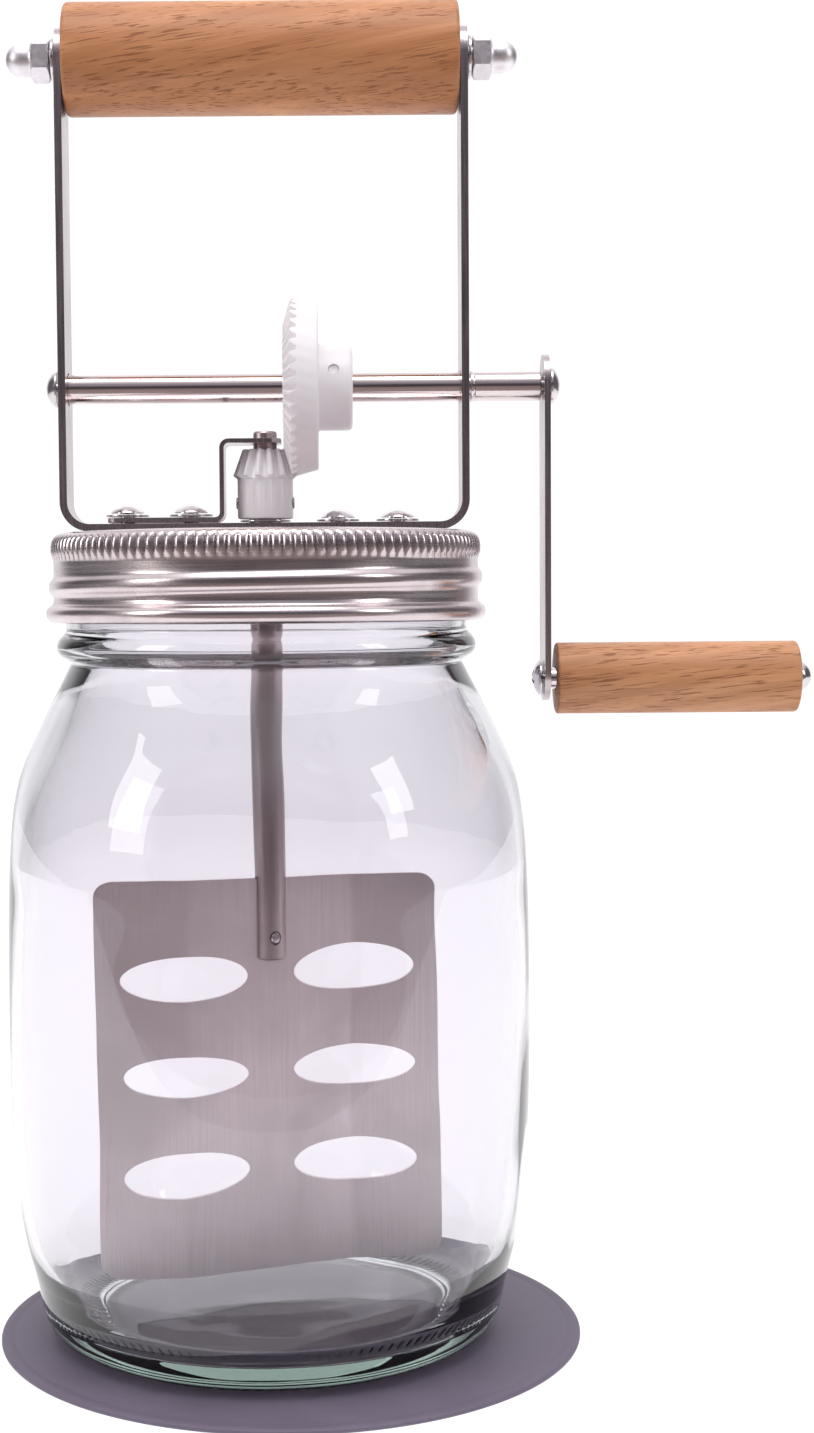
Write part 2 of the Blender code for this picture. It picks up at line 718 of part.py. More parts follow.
# ---------------------------------------------------------------- paddle: a Z-folded sheet with six oval holes
cos_p, sin_p = math.cos(PADDLE_PANEL_ANGLE), math.sin(PADDLE_PANEL_ANGLE)
cos_w, sin_w = math.cos(PADDLE_WING_ANGLE), math.sin(PADDLE_WING_ANGLE)
fold = Vector((PADDLE_PANEL_HALF * cos_p, PADDLE_PANEL_HALF * sin_p))
tip = fold + Vector((PADDLE_WING * cos_w, PADDLE_WING * sin_w))
paddle_middle = (PADDLE_TOP + PADDLE_BOTTOM) / 2
paddle = strip(
    "paddle",
    filleted([-tip, -fold, fold, tip], [6.0, 6.0], 3),
    PADDLE_TOP - PADDLE_BOTTOM,
    PADDLE_SHEET,
    PADDLE_CORNER_R,
    sheet_steel,
    dasher_axis,
    lambda u, v, across: Vector((u, v, paddle_middle + across)),
    4,
)
for column, x in (("left", -PADDLE_SLOT_X), ("right", PADDLE_SLOT_X)):
    for row in (-1, 0, 1):
        wide, high = PADDLE_SLOT_SIZE
        centre = (x, 0, paddle_middle + row * PADDLE_SLOT_PITCH)
        cut(paddle, cutter(f"cut_paddle_{column}_{row + 2}", "Y", centre, wide, -20, 20, 20, high / wide))

# The cross pin stands square to the middle panel and holds the sheet in the rod's slot.
pin_holes = cutter("cut_pin_hole", "Y", (0, 0, PIN_Z), PIN_R + GAP, -8, 8, 16)
pin_holes.rotation_euler.z = PADDLE_PANEL_ANGLE
cut(rod, pin_holes)
cut(paddle, pin_holes)
pin = turned(
    "paddle_pin",
    [(0, -ROD_R - 0.25), (PIN_R - 0.2, -ROD_R - 0.2), (PIN_R, -ROD_R), (PIN_R, ROD_R), (PIN_R - 0.2, ROD_R + 0.2), (0, ROD_R + 0.25)],
    bright_steel,
    dasher_axis,
    "Y",
    (0, 0, PIN_Z),
    16,
)
pin.rotation_euler.z = PADDLE_PANEL_ANGLE

# ---------------------------------------------------------------- pinion, its washer and its two set screws
APEX_Z = SHAFT_Z


def on_pinion(radius, distance, angle):
    return Vector((radius * math.cos(angle), radius * math.sin(angle), APEX_Z - distance))


def circle(place, radius, distance, count, phase=0.0):
    return [place(radius, distance, phase + 2 * math.pi * i / count) for i in range(count)]


large = MODULE * GEAR_TEETH / 2  # the pinion's large end is this far below the apex
pinion_phase = 0.0  # a tooth faces +X, into the gear
hub_top = APEX_Z - large - 0.55
bm = bmesh.new()
loft(
    bm,
    [
        circle(on_pinion, ROD_R + GAP, APEX_Z - PINION_HUB_BOTTOM, 28),
        circle(on_pinion, PINION_HUB_R - 0.5, APEX_Z - PINION_HUB_BOTTOM, 28),
        circle(on_pinion, PINION_HUB_R, APEX_Z - PINION_HUB_BOTTOM - 0.5, 28),
        circle(on_pinion, PINION_HUB_R, APEX_Z - hub_top, 28),
        tooth_ring(PINION_TEETH, GEAR_TEETH, 1.0, on_pinion, pinion_phase),
        tooth_ring(PINION_TEETH, GEAR_TEETH, FACE_RATIO, on_pinion, pinion_phase),
        circle(on_pinion, JOURNAL_R + GAP, large * FACE_RATIO, 28),
        circle(on_pinion, JOURNAL_R + GAP, APEX_Z - ROD_SHOULDER - GAP, 28),
        circle(on_pinion, ROD_R + GAP, APEX_Z - ROD_SHOULDER - GAP, 28),
    ],
    cyclic=True,
)
pinion = finish("pinion_gear", bm, nylon, dasher_axis)
SET_SCREW_Z = 170.3
for side, sign in (("left", -1), ("right", 1)):
    ends = sorted((sign * (ROD_R + GAP + 0.1), sign * (PINION_HUB_R + 0.25)))
    reach = sorted((sign * (ROD_R - 0.2), sign * (PINION_HUB_R + 2)))
    cut(pinion, cutter(f"cut_set_screw_{side}", "X", (0, 0, SET_SCREW_Z), 1.2 + GAP, *reach, 16))
    turned(
        f"pinion_set_screw_{side}",
        [(0, ends[0]), (1.0, ends[0]), (1.2, ends[0] + 0.2), (1.2, ends[1] - 0.2), (1.0, ends[1]), (0, ends[1])],
        steel,
        dasher_axis,
        "X",
        (0, 0, SET_SCREW_Z),
        16,
    )
tube("thrust_washer", ROD_R + GAP, 5.2, FRAME_FLOOR + STRIP_THICKNESS + GAP, PINION_HUB_BOTTOM - GAP, bright_steel, dasher_axis, segments=20)


# ---------------------------------------------------------------- drive gear and its set screw
def on_gear(radius, distance, angle):
    return Vector((distance, radius * math.sin(angle), SHAFT_Z - radius * math.cos(angle)))


gear_phase = math.pi / GEAR_TEETH  # a gap faces straight down, where the pinion's tooth is
cone = math.atan(GEAR_TEETH / PINION_TEETH)
rim_r = MODULE * GEAR_TEETH / 2 + 0.25 - (GEAR_BACK_X - large / 3) * math.cos(cone)
bm = bmesh.new()
loft(
    bm,
    [
        circle(on_gear, DRIVE_R + GAP, GEAR_FRONT_X, 42, gear_phase),
        circle(on_gear, large * FACE_RATIO - 1.6, GEAR_FRONT_X, 42, gear_phase),
        tooth_ring(GEAR_TEETH, PINION_TEETH, FACE_RATIO, on_gear, gear_phase),
        tooth_ring(GEAR_TEETH, PINION_TEETH, 1.0, on_gear, gear_phase),
        circle(on_gear, rim_r, GEAR_BACK_X - 0.2, 42, gear_phase),
        circle(on_gear, rim_r - 0.4, GEAR_BACK_X, 42, gear_phase),
        circle(on_gear, GEAR_HUB_R, GEAR_BACK_X, 42, gear_phase),
        circle(on_gear, GEAR_HUB_R, GEAR_HUB_END_X - 1.0, 42, gear_phase),
        circle(on_gear, GEAR_HUB_R - 1.0, GEAR_HUB_END_X, 42, gear_phase),
        circle(on_gear, DRIVE_R + GAP, GEAR_HUB_END_X, 42, gear_phase),
    ],
    cyclic=True,
)
gear = finish("drive_gear", bm, nylon, crank_axis)
GEAR_SCREW_X = 14.0
GEAR_SCREW_TILT = math.radians(-20)  # turned up from the -Y side
gear_hole = cutter("cut_gear_screw", "Y", (GEAR_SCREW_X, 0, SHAFT_Z), SCREW_R + GAP, -12, -2.0, 16, parent=crank_axis)
gear_hole.rotation_euler.x = GEAR_SCREW_TILT
cut(gear, gear_hole)
gear_screw = turned(
    "gear_set_screw",
    [(0, -3.4), (SCREW_R - 0.3, -3.4), (SCREW_R, -3.7), (SCREW_R, -8.0), (SCREW_R - 0.3, -8.3), (0, -8.3)],
    steel,
    crank_axis,
    "Y",
    (GEAR_SCREW_X, 0, SHAFT_Z),
    16,
)
gear_screw.rotation_euler.x = GEAR_SCREW_TILT

# ---------------------------------------------------------------- drive shaft with its clip and end screw
drive_end = ARM_INNER_X - GAP
clip_x = FRAME_HALF_SPAN + GAP
turned(
    "drive_shaft",
    [
        (0, DRIVE_LEFT_X + 8),
        (SCREW_R + GAP, DRIVE_LEFT_X + 8),
        (SCREW_R + GAP, DRIVE_LEFT_X),
        (DRIVE_R - 0.3, DRIVE_LEFT_X),
        (DRIVE_R, DRIVE_LEFT_X + 0.3),
        (DRIVE_R, clip_x),
        (DRIVE_R - 0.7, clip_x),
        (DRIVE_R - 0.7, clip_x + 1.1),
        (DRIVE_R, clip_x + 1.1),
        (DRIVE_R, drive_end - 0.3),
        (DRIVE_R - 0.3, drive_end),
        (SCREW_R + GAP, drive_end),
        (SCREW_R + GAP, drive_end - 9),
        (0, drive_end - 9),
    ],
    steel,
    crank_axis,
    "X",
    (0, 0, SHAFT_Z),
    20,
)
tube("shaft_clip", DRIVE_R - 0.7 + GAP, DRIVE_R + 0.15, clip_x + 0.25, clip_x + 0.85, steel, crank_axis, "X", (0, 0, SHAFT_Z), 20)


def screw(name, z, head_x, head_r, head_length, stub_r, stub_end, parent, look=bright_steel):
    """A dome-headed screw along X. head_x is the face that the head seats on; the stub runs from there to stub_end."""
    outward = -1 if stub_end > head_x else 1
    return turned(
        name,
        [
            (0, stub_end),
            (stub_r - 0.2, stub_end),
            (stub_r, stub_end - 0.2 * (1 if stub_end > head_x else -1)),
            (stub_r, head_x),
            (head_r, head_x),
            (head_r, head_x + outward * 0.5),
            *dome(head_r, head_x + outward * 0.5, outward * (head_length - 0.5))[1:],
        ],
        look,
        parent,
        "X",
        (0, 0, z),
        16,
    )


screw("shaft_end_screw", SHAFT_Z, -FRAME_HALF_SPAN - 2 * GAP, 3.7, 2.4, SCREW_R, DRIVE_LEFT_X + 7.5, crank_axis)

# ---------------------------------------------------------------- crank arm and its screw
arm_x = ARM_INNER_X + ARM_THICKNESS / 2
arm = strip(
    "crank_arm",
    [Vector((arm_x, ARM_BOTTOM_Z)), Vector((arm_x, ARM_TOP_Z))],
    ARM_WIDTH,
    ARM_THICKNESS,
    ARM_WIDTH / 2,
    sheet_steel,
    crank_axis,
    lambda u, v, across: Vector((u, across, v)),
    6,
)
cut(
    arm,
    cutter("cut_arm_shaft", "X", (0, 0, SHAFT_Z), SCREW_R + GAP, ARM_INNER_X - 3, ARM_INNER_X + 5, 20),
    cutter("cut_arm_grip", "X", (0, 0, GRIP_Z), SPINDLE_HOLE_R, ARM_INNER_X - 3, ARM_INNER_X + 5, 20),
)
arm_outer = ARM_INNER_X + ARM_THICKNESS
screw("crank_arm_screw", SHAFT_Z, arm_outer + GAP, 3.8, 2.1, SCREW_R, drive_end - 8.5, crank_axis)

# ---------------------------------------------------------------- grip spindle, its two screws, and the turning grip
spindle_start = arm_outer + GAP
turned(
    "grip_spindle",
    [
        (0, spindle_start + 10),
        (SPINDLE_HOLE_R, spindle_start + 10),
        (SPINDLE_HOLE_R, spindle_start),
        (SPINDLE_R, spindle_start),
        (SPINDLE_R, GRIP_END_X),
        (SPINDLE_HOLE_R, GRIP_END_X),
        (SPINDLE_HOLE_R, GRIP_END_X - 10),
        (0, GRIP_END_X - 10),
    ],
    steel,
    crank_axis,
    "X",
    (0, 0, GRIP_Z),
    16,
)
screw("grip_screw_inner", GRIP_Z, ARM_INNER_X - GAP, 3.6, 1.9, SPINDLE_SCREW_R, spindle_start + 9.5, crank_axis)
screw("grip_screw_outer", GRIP_Z, GRIP_END_X + GAP, 3.1, 2.8, SPINDLE_SCREW_R, GRIP_END_X - 9.5, crank_axis)
tube("crank_grip", SPINDLE_R + GAP, GRIP_R, GRIP_START_X, GRIP_END_X, beech, grip_axis, "X", (0, 0, GRIP_Z), 28, GRIP_EDGE)
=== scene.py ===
"""Looks of the hand-cranked butter churn: fine meshes, procedural materials, floor, light and camera.

Lengths below are in millimetres in the row frame (origin on the jar's axis under the mat, +Z up, crank on +X);
the meshes are made in metres.
"""

import math

import bmesh
import bpy
import numpy as np
from mathutils import Matrix, Vector


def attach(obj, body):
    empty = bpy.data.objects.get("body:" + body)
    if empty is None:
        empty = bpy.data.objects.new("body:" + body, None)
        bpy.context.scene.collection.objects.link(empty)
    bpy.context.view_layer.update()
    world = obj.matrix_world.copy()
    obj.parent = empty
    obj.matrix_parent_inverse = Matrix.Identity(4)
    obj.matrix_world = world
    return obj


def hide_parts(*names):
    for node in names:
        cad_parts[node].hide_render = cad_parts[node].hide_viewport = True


MM = 0.001
TAU = 2 * math.pi
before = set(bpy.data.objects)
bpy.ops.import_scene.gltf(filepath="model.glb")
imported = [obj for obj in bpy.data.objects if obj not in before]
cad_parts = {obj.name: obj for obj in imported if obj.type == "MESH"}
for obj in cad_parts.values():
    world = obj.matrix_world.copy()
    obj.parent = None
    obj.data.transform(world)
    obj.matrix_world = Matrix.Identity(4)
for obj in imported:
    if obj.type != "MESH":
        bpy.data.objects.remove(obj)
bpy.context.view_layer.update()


# ---------------------------------------------------------------- materials
class Look:
    """A Principled material with short calls for its nodes."""

    def __init__(self, name, **values):
        self.material = bpy.data.materials.new(name)
        self.material.use_nodes = True
        self.tree = self.material.node_tree
        self.shader = self.tree.nodes["Principled BSDF"]
        for key, value in values.items():
            self.shader.inputs[key.replace("_", " ")].default_value = value
        self.place = self.add("ShaderNodeTexCoord").outputs["Object"]

    def add(self, kind, inputs=None, **settings):
        node = self.tree.nodes.new(kind)
        for key, value in settings.items():
            setattr(node, key, value)
        for key, value in (inputs or {}).items():
            if isinstance(value, bpy.types.NodeSocket):
                self.tree.links.new(value, node.inputs[key])
            else:
                node.inputs[key].default_value = value
        return node

    def math(self, operation, a, b=0.0, c=0.0):
        return self.add("ShaderNodeMath", {0: a, 1: b, 2: c}, operation=operation).outputs[0]

    def map(self, scale, turn=(0, 0, 0), source=None, shift=(0, 0, 0)):
        """The place turned first and then scaled, so that a long grain keeps its slope."""
        source = source or self.place
        if any(turn):
            source = self.add("ShaderNodeMapping", {"Vector": source, "Rotation": turn}).outputs[0]
        return self.add("ShaderNodeMapping", {"Vector": source, "Scale": scale, "Location": shift}).outputs[0]

    def noise(self, vector, scale=1.0, detail=3.0, roughness=0.5, distortion=0.0):
        return self.add(
            "ShaderNodeTexNoise",
            {"Vector": vector, "Scale": scale, "Detail": detail, "Roughness": roughness, "Distortion": distortion},
        ).outputs[0]

    def spread(self, value, low, high, to_low=0.0, to_high=1.0):
        return self.add(
            "ShaderNodeMapRange", {0: value, 1: low, 2: high, 3: to_low, 4: to_high}, interpolation_type="SMOOTHSTEP"
        ).outputs[0]

    def ramp(self, value, stops):
        node = self.add("ShaderNodeValToRGB", {0: value})
        elements = node.color_ramp.elements
        while len(elements) < len(stops):
            elements.new(0.5)
        for element, (position, colour) in zip(elements, stops):
            element.position = position
            element.color = (*colour, 1)
        return node.outputs[0]

    def mix(self, value, a, b, blend="MIX"):
        node = self.add("ShaderNodeMix", data_type="RGBA", blend_type=blend)
        for index, item in ((0, value), (6, a), (7, b)):
            if isinstance(item, bpy.types.NodeSocket):
                self.tree.links.new(item, node.inputs[index])
            else:
                node.inputs[index].default_value = (*item, 1) if isinstance(item, tuple) else item
        return node.outputs[2]

    def set(self, key, socket):
        self.tree.links.new(socket, self.shader.inputs[key])

    def bump(self, height, strength, distance):
        node = self.add("ShaderNodeBump", {"Height": height, "Strength": strength, "Distance": distance})
        self.set("Normal", node.outputs[0])
        return node

    def polar(self):
        """(angle, radius, height) about the Z axis, in radians and metres."""
        parts = self.add("ShaderNodeSeparateXYZ", {0: self.place}).outputs
        angle = self.math("ARCTAN2", parts[1], parts[0])
        radius = self.math("SQRT", self.math("ADD", self.math("MULTIPLY", parts[0], parts[0]), self.math("MULTIPLY", parts[1], parts[1])))
        return angle, radius, parts[2]


def brushed(name, scale, tone, rough, bump=0.05, smudge=35.0):
    """Stainless steel with fine lines along the axis whose scale is small."""
    look = Look(name, Metallic=1.0, Specular_IOR_Level=0.5)
    lines = look.noise(look.map(scale), 1.0, 4.0, 0.65)
    blur = look.noise(look.place, smudge, 4.0, 0.6, 0.4)
    colour = look.ramp(lines, [(0.25, tuple(v * 0.84 for v in tone)), (0.55, tone), (0.8, tuple(min(1, v * 1.08) for v in tone))])
    colour = look.mix(look.spread(blur, 0.35, 0.7), colour, tuple(v * 0.86 for v in tone))
    look.set("Base Color", colour)
    look.set("Roughness", look.math("ADD", look.spread(lines, 0.2, 0.85, rough - 0.06, rough + 0.07), look.spread(blur, 0.3, 0.75, -0.04, 0.06)))
    look.bump(lines, bump, 0.0002)
    return look.material


sheet_upright = brushed("brushed_sheet_upright", (2600, 2600, 60), (0.55, 0.49, 0.50), 0.26, 0.06)
sheet_paddle = brushed("brushed_sheet_paddle", (2400, 2400, 45), (0.92, 0.815, 0.82), 0.48, 0.08, 28.0)
shaft_x = brushed("drawn_bar_across", (50, 2400, 2400), (0.74, 0.66, 0.655), 0.13, 0.03)
shaft_z = brushed("drawn_bar_upright", (2400, 2400, 60), (0.54, 0.455, 0.46), 0.36, 0.06)
bright = brushed("bright_fastener", (900, 900, 900), (0.72, 0.69, 0.71), 0.17, 0.004, 160.0)
zinc = brushed("plated_nut", (900, 900, 900), (0.86, 0.83, 0.86), 0.42, 0.004, 160.0)


def spun_lid():
    look = Look("spun_lid_steel", Metallic=1.0)
    angle, radius, height = look.polar()
    ring = look.add("ShaderNodeCombineXYZ", {0: look.math("MULTIPLY", angle, 2.2), 1: look.math("MULTIPLY", radius, 1900.0), 2: look.math("MULTIPLY", height, 1900.0)}).outputs[0]
    lines = look.noise(ring, 1.0, 4.0, 0.6)
    blur = look.noise(look.place, 55.0, 4.0, 0.6, 0.5)
    tone = (0.68, 0.605, 0.615)
    colour = look.ramp(lines, [(0.25, (0.56, 0.495, 0.505)), (0.55, tone), (0.8, (0.75, 0.675, 0.685))])
    colour = look.mix(look.spread(blur, 0.42, 0.72, 0.0, 0.7), colour, (0.50, 0.44, 0.45))
    look.set("Base Color", colour)
    look.set("Roughness", look.math("ADD", look.spread(lines, 0.2, 0.85, 0.20, 0.30), look.spread(blur, 0.3, 0.75, -0.03, 0.07)))
    look.bump(lines, 0.06, 0.0002)
    return look.material


def beech(name, tilt, shift, cathedral):
    """Oiled beech with its grain along X, rising to the right, and short dark flecks."""
    look = Look(name, Specular_IOR_Level=0.42)

    def shade(red, green, blue):
        return (red, green * 1.1, blue * 1.16) if cathedral else (red * 0.96, green, blue)

    grain = look.map((16, 150, 150), (0, tilt, 0), shift=shift)
    warp = look.noise(look.map((9, 40, 40), (0, tilt, 0), shift=shift), 1.0, 3.0, 0.5)
    figure = look.noise(grain, 1.0, 5.0, 0.6, 0.8)
    bands = look.add(
        "ShaderNodeTexWave",
        {
            "Vector": look.map((10, 40, 75), (0, tilt * 1.6, 0.12), shift=shift),
            "Scale": 1.0,
            "Distortion": 5.0 if cathedral else 2.0,
            "Detail": 3.0,
            "Detail Scale": 0.8,
            "Detail Roughness": 0.6,
        },
        wave_type="BANDS",
        bands_direction="Z",
    ).outputs[1]
    tone = look.ramp(figure, [(0.34, shade(0.42, 0.155, 0.062)), (0.5, shade(0.57, 0.232, 0.098)), (0.66, shade(0.69, 0.31, 0.145))])
    tone = look.mix(look.spread(bands, 0.35, 0.95, 0.0, 0.55 if cathedral else 0.25), tone, shade(0.42, 0.155, 0.058))
    tone = look.mix(look.spread(warp, 0.35, 0.7, 0.0, 0.35), tone, shade(0.74, 0.35, 0.17))
    pores = look.noise(look.map((125, 2700, 2700), (0, tilt, 0), shift=shift), 1.0, 2.0, 0.45)
    gate = look.noise(look.map((30, 320, 320), (0, tilt, 0), shift=shift), 1.0, 2.0, 0.5)
    fleck = look.math("MULTIPLY", look.spread(pores, 0.56, 0.64), look.spread(gate, 0.36, 0.52))
    tone = look.mix(look.math("MULTIPLY", fleck, 0.66), tone, (0.20, 0.062, 0.02))
    fine = look.noise(look.map((90, 3000, 3000), (0, tilt, 0)), 1.0, 2.0, 0.5)
    tone = look.mix(look.spread(fine, 0.3, 0.75, 0.0, 0.22), tone, (0.42, 0.18, 0.07))
    look.set("Base Color", tone)
    look.set("Roughness", look.math("ADD", look.spread(figure, 0.25, 0.75, 0.40, 0.52), look.math("MULTIPLY", fleck, 0.2)))
    look.bump(look.math("SUBTRACT", fine, look.math("MULTIPLY", fleck, 1.2)), 0.22, 0.0002)
    return look.material


def nylon_look():
    look = Look("natural_nylon", Subsurface_Weight=0.35, Subsurface_Scale=0.003, Subsurface_Radius=(1.0, 0.9, 0.95), Specular_IOR_Level=0.45)
    cloud = look.noise(look.place, 120.0, 3.0, 0.5)
    grain = look.noise(look.map((900, 900, 900)), 1.0, 3.0, 0.6)
    look.set("Base Color", look.ramp(cloud, [(0.3, (0.91, 0.88, 0.915)), (0.7, (0.96, 0.94, 0.96))]))
    look.set("Roughness", look.spread(grain, 0.25, 0.75, 0.34, 0.46))
    look.bump(grain, 0.08, 0.0002)
    return look.material


def rubber(name, dark, light, grain_scale):
    look = Look(name, Specular_IOR_Level=0.32)
    cloud = look.noise(look.place, 45.0, 4.0, 0.6)
    grain = look.noise(look.map((grain_scale,) * 3), 1.0, 3.0, 0.6)
    look.set("Base Color", look.mix(look.spread(grain, 0.3, 0.7, 0.0, 0.3), look.ramp(cloud, [(0.3, dark), (0.7, light)]), dark))
    look.set("Roughness", look.spread(cloud, 0.3, 0.7, 0.52, 0.62))
    look.bump(grain, 0.12, 0.0002)
    return look.material


def glass_look():
    look = Look("clear_glass", Base_Color=(0.905, 0.88, 0.92, 1), Transmission_Weight=1.0, IOR=1.5)
    angle, radius, height = look.polar()
    dots = look.math("MULTIPLY", look.math("SINE", look.math("MULTIPLY", angle, 116.0)), 0.5)
    band = look.math("MULTIPLY", look.spread(height, 0.0022, 0.0032, 1.0, 0.0), look.spread(radius, 0.0375, 0.0395))
    wave = look.noise(look.map((38, 38, 16)), 1.0, 2.0, 0.5)
    smear = look.noise(look.map((70, 70, 40)), 1.0, 3.0, 0.6)
    look.set("Roughness", look.spread(smear, 0.55, 0.8, 0.0, 0.025))
    look.bump(look.math("ADD", look.math("MULTIPLY", look.math("MULTIPLY", dots, band), 1.0), look.math("MULTIPLY", wave, 0.9)), 0.55, 0.0006)
    absorb = look.add("ShaderNodeVolumeAbsorption", {"Color": (0.50, 0.64, 0.57, 1), "Density": 26.0})
    look.tree.links.new(absorb.outputs[0], look.tree.nodes["Material Output"].inputs["Volume"])
    return look.material


lid_steel = spun_lid()
beech_top = beech("beech_handle", 0.17, (0.0, 0.0, 0.0), False)
beech_grip = beech("beech_grip", 0.11, (0.31, 0.17, 0.23), True)
nylon = nylon_look()
silicone = rubber("grey_silicone", (0.138, 0.115, 0.160), (0.172, 0.146, 0.200), 1500.0)
seal_white = rubber("white_silicone", (0.72, 0.72, 0.70), (0.82, 0.82, 0.80), 900.0)
glass = glass_look()


# ---------------------------------------------------------------- mesh helpers
def add(name, verts, faces, body, look, node, sharp=35.0, cutters=(), edge=0.0):
    """A closed skin in world millimetres, cut, softened at its edges, and set to ride on its body."""
    mesh = bpy.data.meshes.new(name)
    mesh.from_pydata([tuple(float(c) * MM for c in v) for v in verts], [], [tuple(int(i) for i in f) for f in faces])
    mesh.validate()
    bm = bmesh.new()
    bm.from_mesh(mesh)
    bmesh.ops.remove_doubles(bm, verts=bm.verts, dist=1e-7)
    bmesh.ops.recalc_face_normals(bm, faces=bm.faces)
    if bm.calc_volume(signed=True) < 0:
        bmesh.ops.reverse_faces(bm, faces=bm.faces)
    bm.to_mesh(mesh)
    bm.free()
    made = bpy.data.objects.new(name, mesh)
    bpy.context.scene.collection.objects.link(made)
    for tool in cutters:
        modifier = made.modifiers.new(tool.name, "BOOLEAN")
        modifier.operation = "DIFFERENCE"
        modifier.solver = "EXACT"
        modifier.object = tool
    if edge:
        modifier = made.modifiers.new("edge", "BEVEL")
        modifier.width = edge * MM
        modifier.segments = 2
        modifier.limit_method = "ANGLE"
        modifier.angle_limit = math.radians(40)
    if made.modifiers:
        bpy.context.view_layer.update()
        graph = bpy.context.evaluated_depsgraph_get()
        final = bpy.data.meshes.new_from_object(made.evaluated_get(graph))
        made.modifiers.clear()
        made.data = final
        mesh = final
    mesh.materials.clear()
    mesh.materials.append(look)
    mesh.shade_smooth()
    mesh.set_sharp_from_angle(angle=math.radians(sharp))
    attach(made, body)
    if node:
        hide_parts(*([node] if isinstance(node, str) else node))
    return made


def spot(axis, centre, radius, angle, travel):
    a, b = radius * math.cos(angle), radius * math.sin(angle)
    x, y, z = {"X": (travel, a, b), "Y": (b, travel, a), "Z": (a, b, travel)}[axis]
    return (centre[0] + x, centre[1] + y, centre[2] + z)


def skin(rings, cyclic=False):
    """Vertices and faces of a skin through rings, each of one length or a single point."""
    verts, starts = [], []
    for ring in rings:
        starts.append(len(verts))
        verts += ring
    faces = []
    pairs = list(zip(range(len(rings)), range(1, len(rings)))) + ([(len(rings) - 1, 0)] if cyclic else [])
    for a, b in pairs:
        n, m = len(rings[a]), len(rings[b])
        sa, sb = starts[a], starts[b]
        if n == 1 and m == 1:
            continue
        if n == 1:
            faces += [(sa, sb + i, sb + (i + 1) % m) for i in range(m)]
        elif m == 1:
            faces += [(sa + i, sb, sa + (i + 1) % n) for i in range(n)]
        else:
            step = max(n, m) // min(n, m)
            if step == 1:
                faces += [(sa + i, sa + (i + 1) % n, sb + (i + 1) % n, sb + i) for i in range(n)]
            else:
                if n < m:
                    sa, sb, n, m = sb, sa, m, n
                for i in range(n):
                    near = sb + ((i + step // 2) // step) % m
                    far = sb + ((i + 1 + step // 2) // step) % m
                    if near == far:
                        faces.append((sa + i, sa + (i + 1) % n, near))
                    else:
                        faces.append((sa + i, sa + (i + 1) % n, near))
                        faces.append((sa + (i + 1) % n, far, near))
    return verts, faces


def turn(profile, axis="Z", centre=(0, 0, 0), segments=64, closed=False):
    rings = [
        [spot(axis, centre, 0, 0, t)] if r == 0 else [spot(axis, centre, r, TAU * i / segments, t) for i in range(segments)]
        for r, t in profile
    ]
    return skin(rings, closed)


def rounded(profile, radius, steps=3, closed=False):
    """The profile with every corner that can take it rounded."""
    points = [Vector(p) for p in profile]
    count = len(points)
    out = []
    for i, corner in enumerate(points):
        if not closed and i in (0, count - 1):
            out.append(tuple(corner))
            continue
        before, after = points[i - 1] - corner, points[(i + 1) % count] - corner
        reach = min(radius, before.length * 0.45, after.length * 0.45)
        if reach < 0.01 or before.angle(after) > math.radians(155):
            out.append(tuple(corner))
            continue
        a, b = corner + before.normalized() * reach, corner + after.normalized() * reach
        for k in range(steps + 1):
            t = k / steps
            out.append(tuple(a * (1 - t) ** 2 + corner * 2 * t * (1 - t) + b * t**2))
    return out


def lathe(name, profile, body, look, node, axis="Z", centre=(0, 0, 0), segments=64, closed=False, soft=0.0, sharp=35.0, cutters=(), edge=0.0):
    if soft:
        profile = rounded(profile, soft, 3, closed)
    profile = [(max(r, 0), t) for r, t in profile]
    verts, faces = turn(profile, axis, centre, segments, closed)
    return add(name, verts, faces, body, look, node, sharp, cutters, edge)


def tube(name, inner, outer, start, end, body, look, node, slot, axis="Z", centre=(0, 0, 0), segments=64, soft=0.15):
    return lathe(name, [(inner, start), (inner, end), (outer, end), (outer, start)], body, look, node, axis, centre, segments, True, soft)


def dome(radius, base, height, steps=8):
    ball = (radius**2 + height**2) / (2 * abs(height))
    span = math.asin(min(1.0, radius / ball))
    if abs(height) > radius:
        span = math.pi - span
    sign = 1 if height > 0 else -1
    points = []
    for i in range(steps + 1):
        angle = span * (1 - i / steps)
        points.append((ball * math.sin(angle) if i < steps else 0, base + sign * (abs(height) - ball * (1 - math.cos(angle)))))
    return points


def curve(stations, steps):
    points = [Vector(s) for s in stations]
    padded = [points[0] * 2 - points[1], *points, points[-1] * 2 - points[-2]]
    out = []
    for a, b, c, d in zip(padded, padded[1:], padded[2:], padded[3:]):
        for i in range(steps):
            t = i / steps
            out.append(tuple(0.5 * (2 * b + (c - a) * t + (2 * a - 5 * b + 4 * c - d) * t**2 + (3 * b - a - 3 * c + d) * t**3)))
    out.append(tuple(points[-1]))
    return out


def filleted(points, radii, steps=10):
    path = [Vector(points[0])]
    for before, corner, after, radius in zip(points, points[1:], points[2:], radii):
        corner = Vector(corner)
        back, forth = (Vector(before) - corner).normalized(), (Vector(after) - corner).normalized()
        half = math.acos(max(-1.0, min(1.0, back.dot(forth)))) / 2
        reach = radius / math.tan(half)
        centre = corner + (back + forth).normalized() * (radius / math.sin(half))
        start, end = (corner + back * reach - centre).normalized(), (corner + forth * reach - centre).normalized()
        for i in range(steps + 1):
            path.append(centre + start.slerp(end, i / steps) * radius)
    path.append(Vector(points[-1]))
    return path


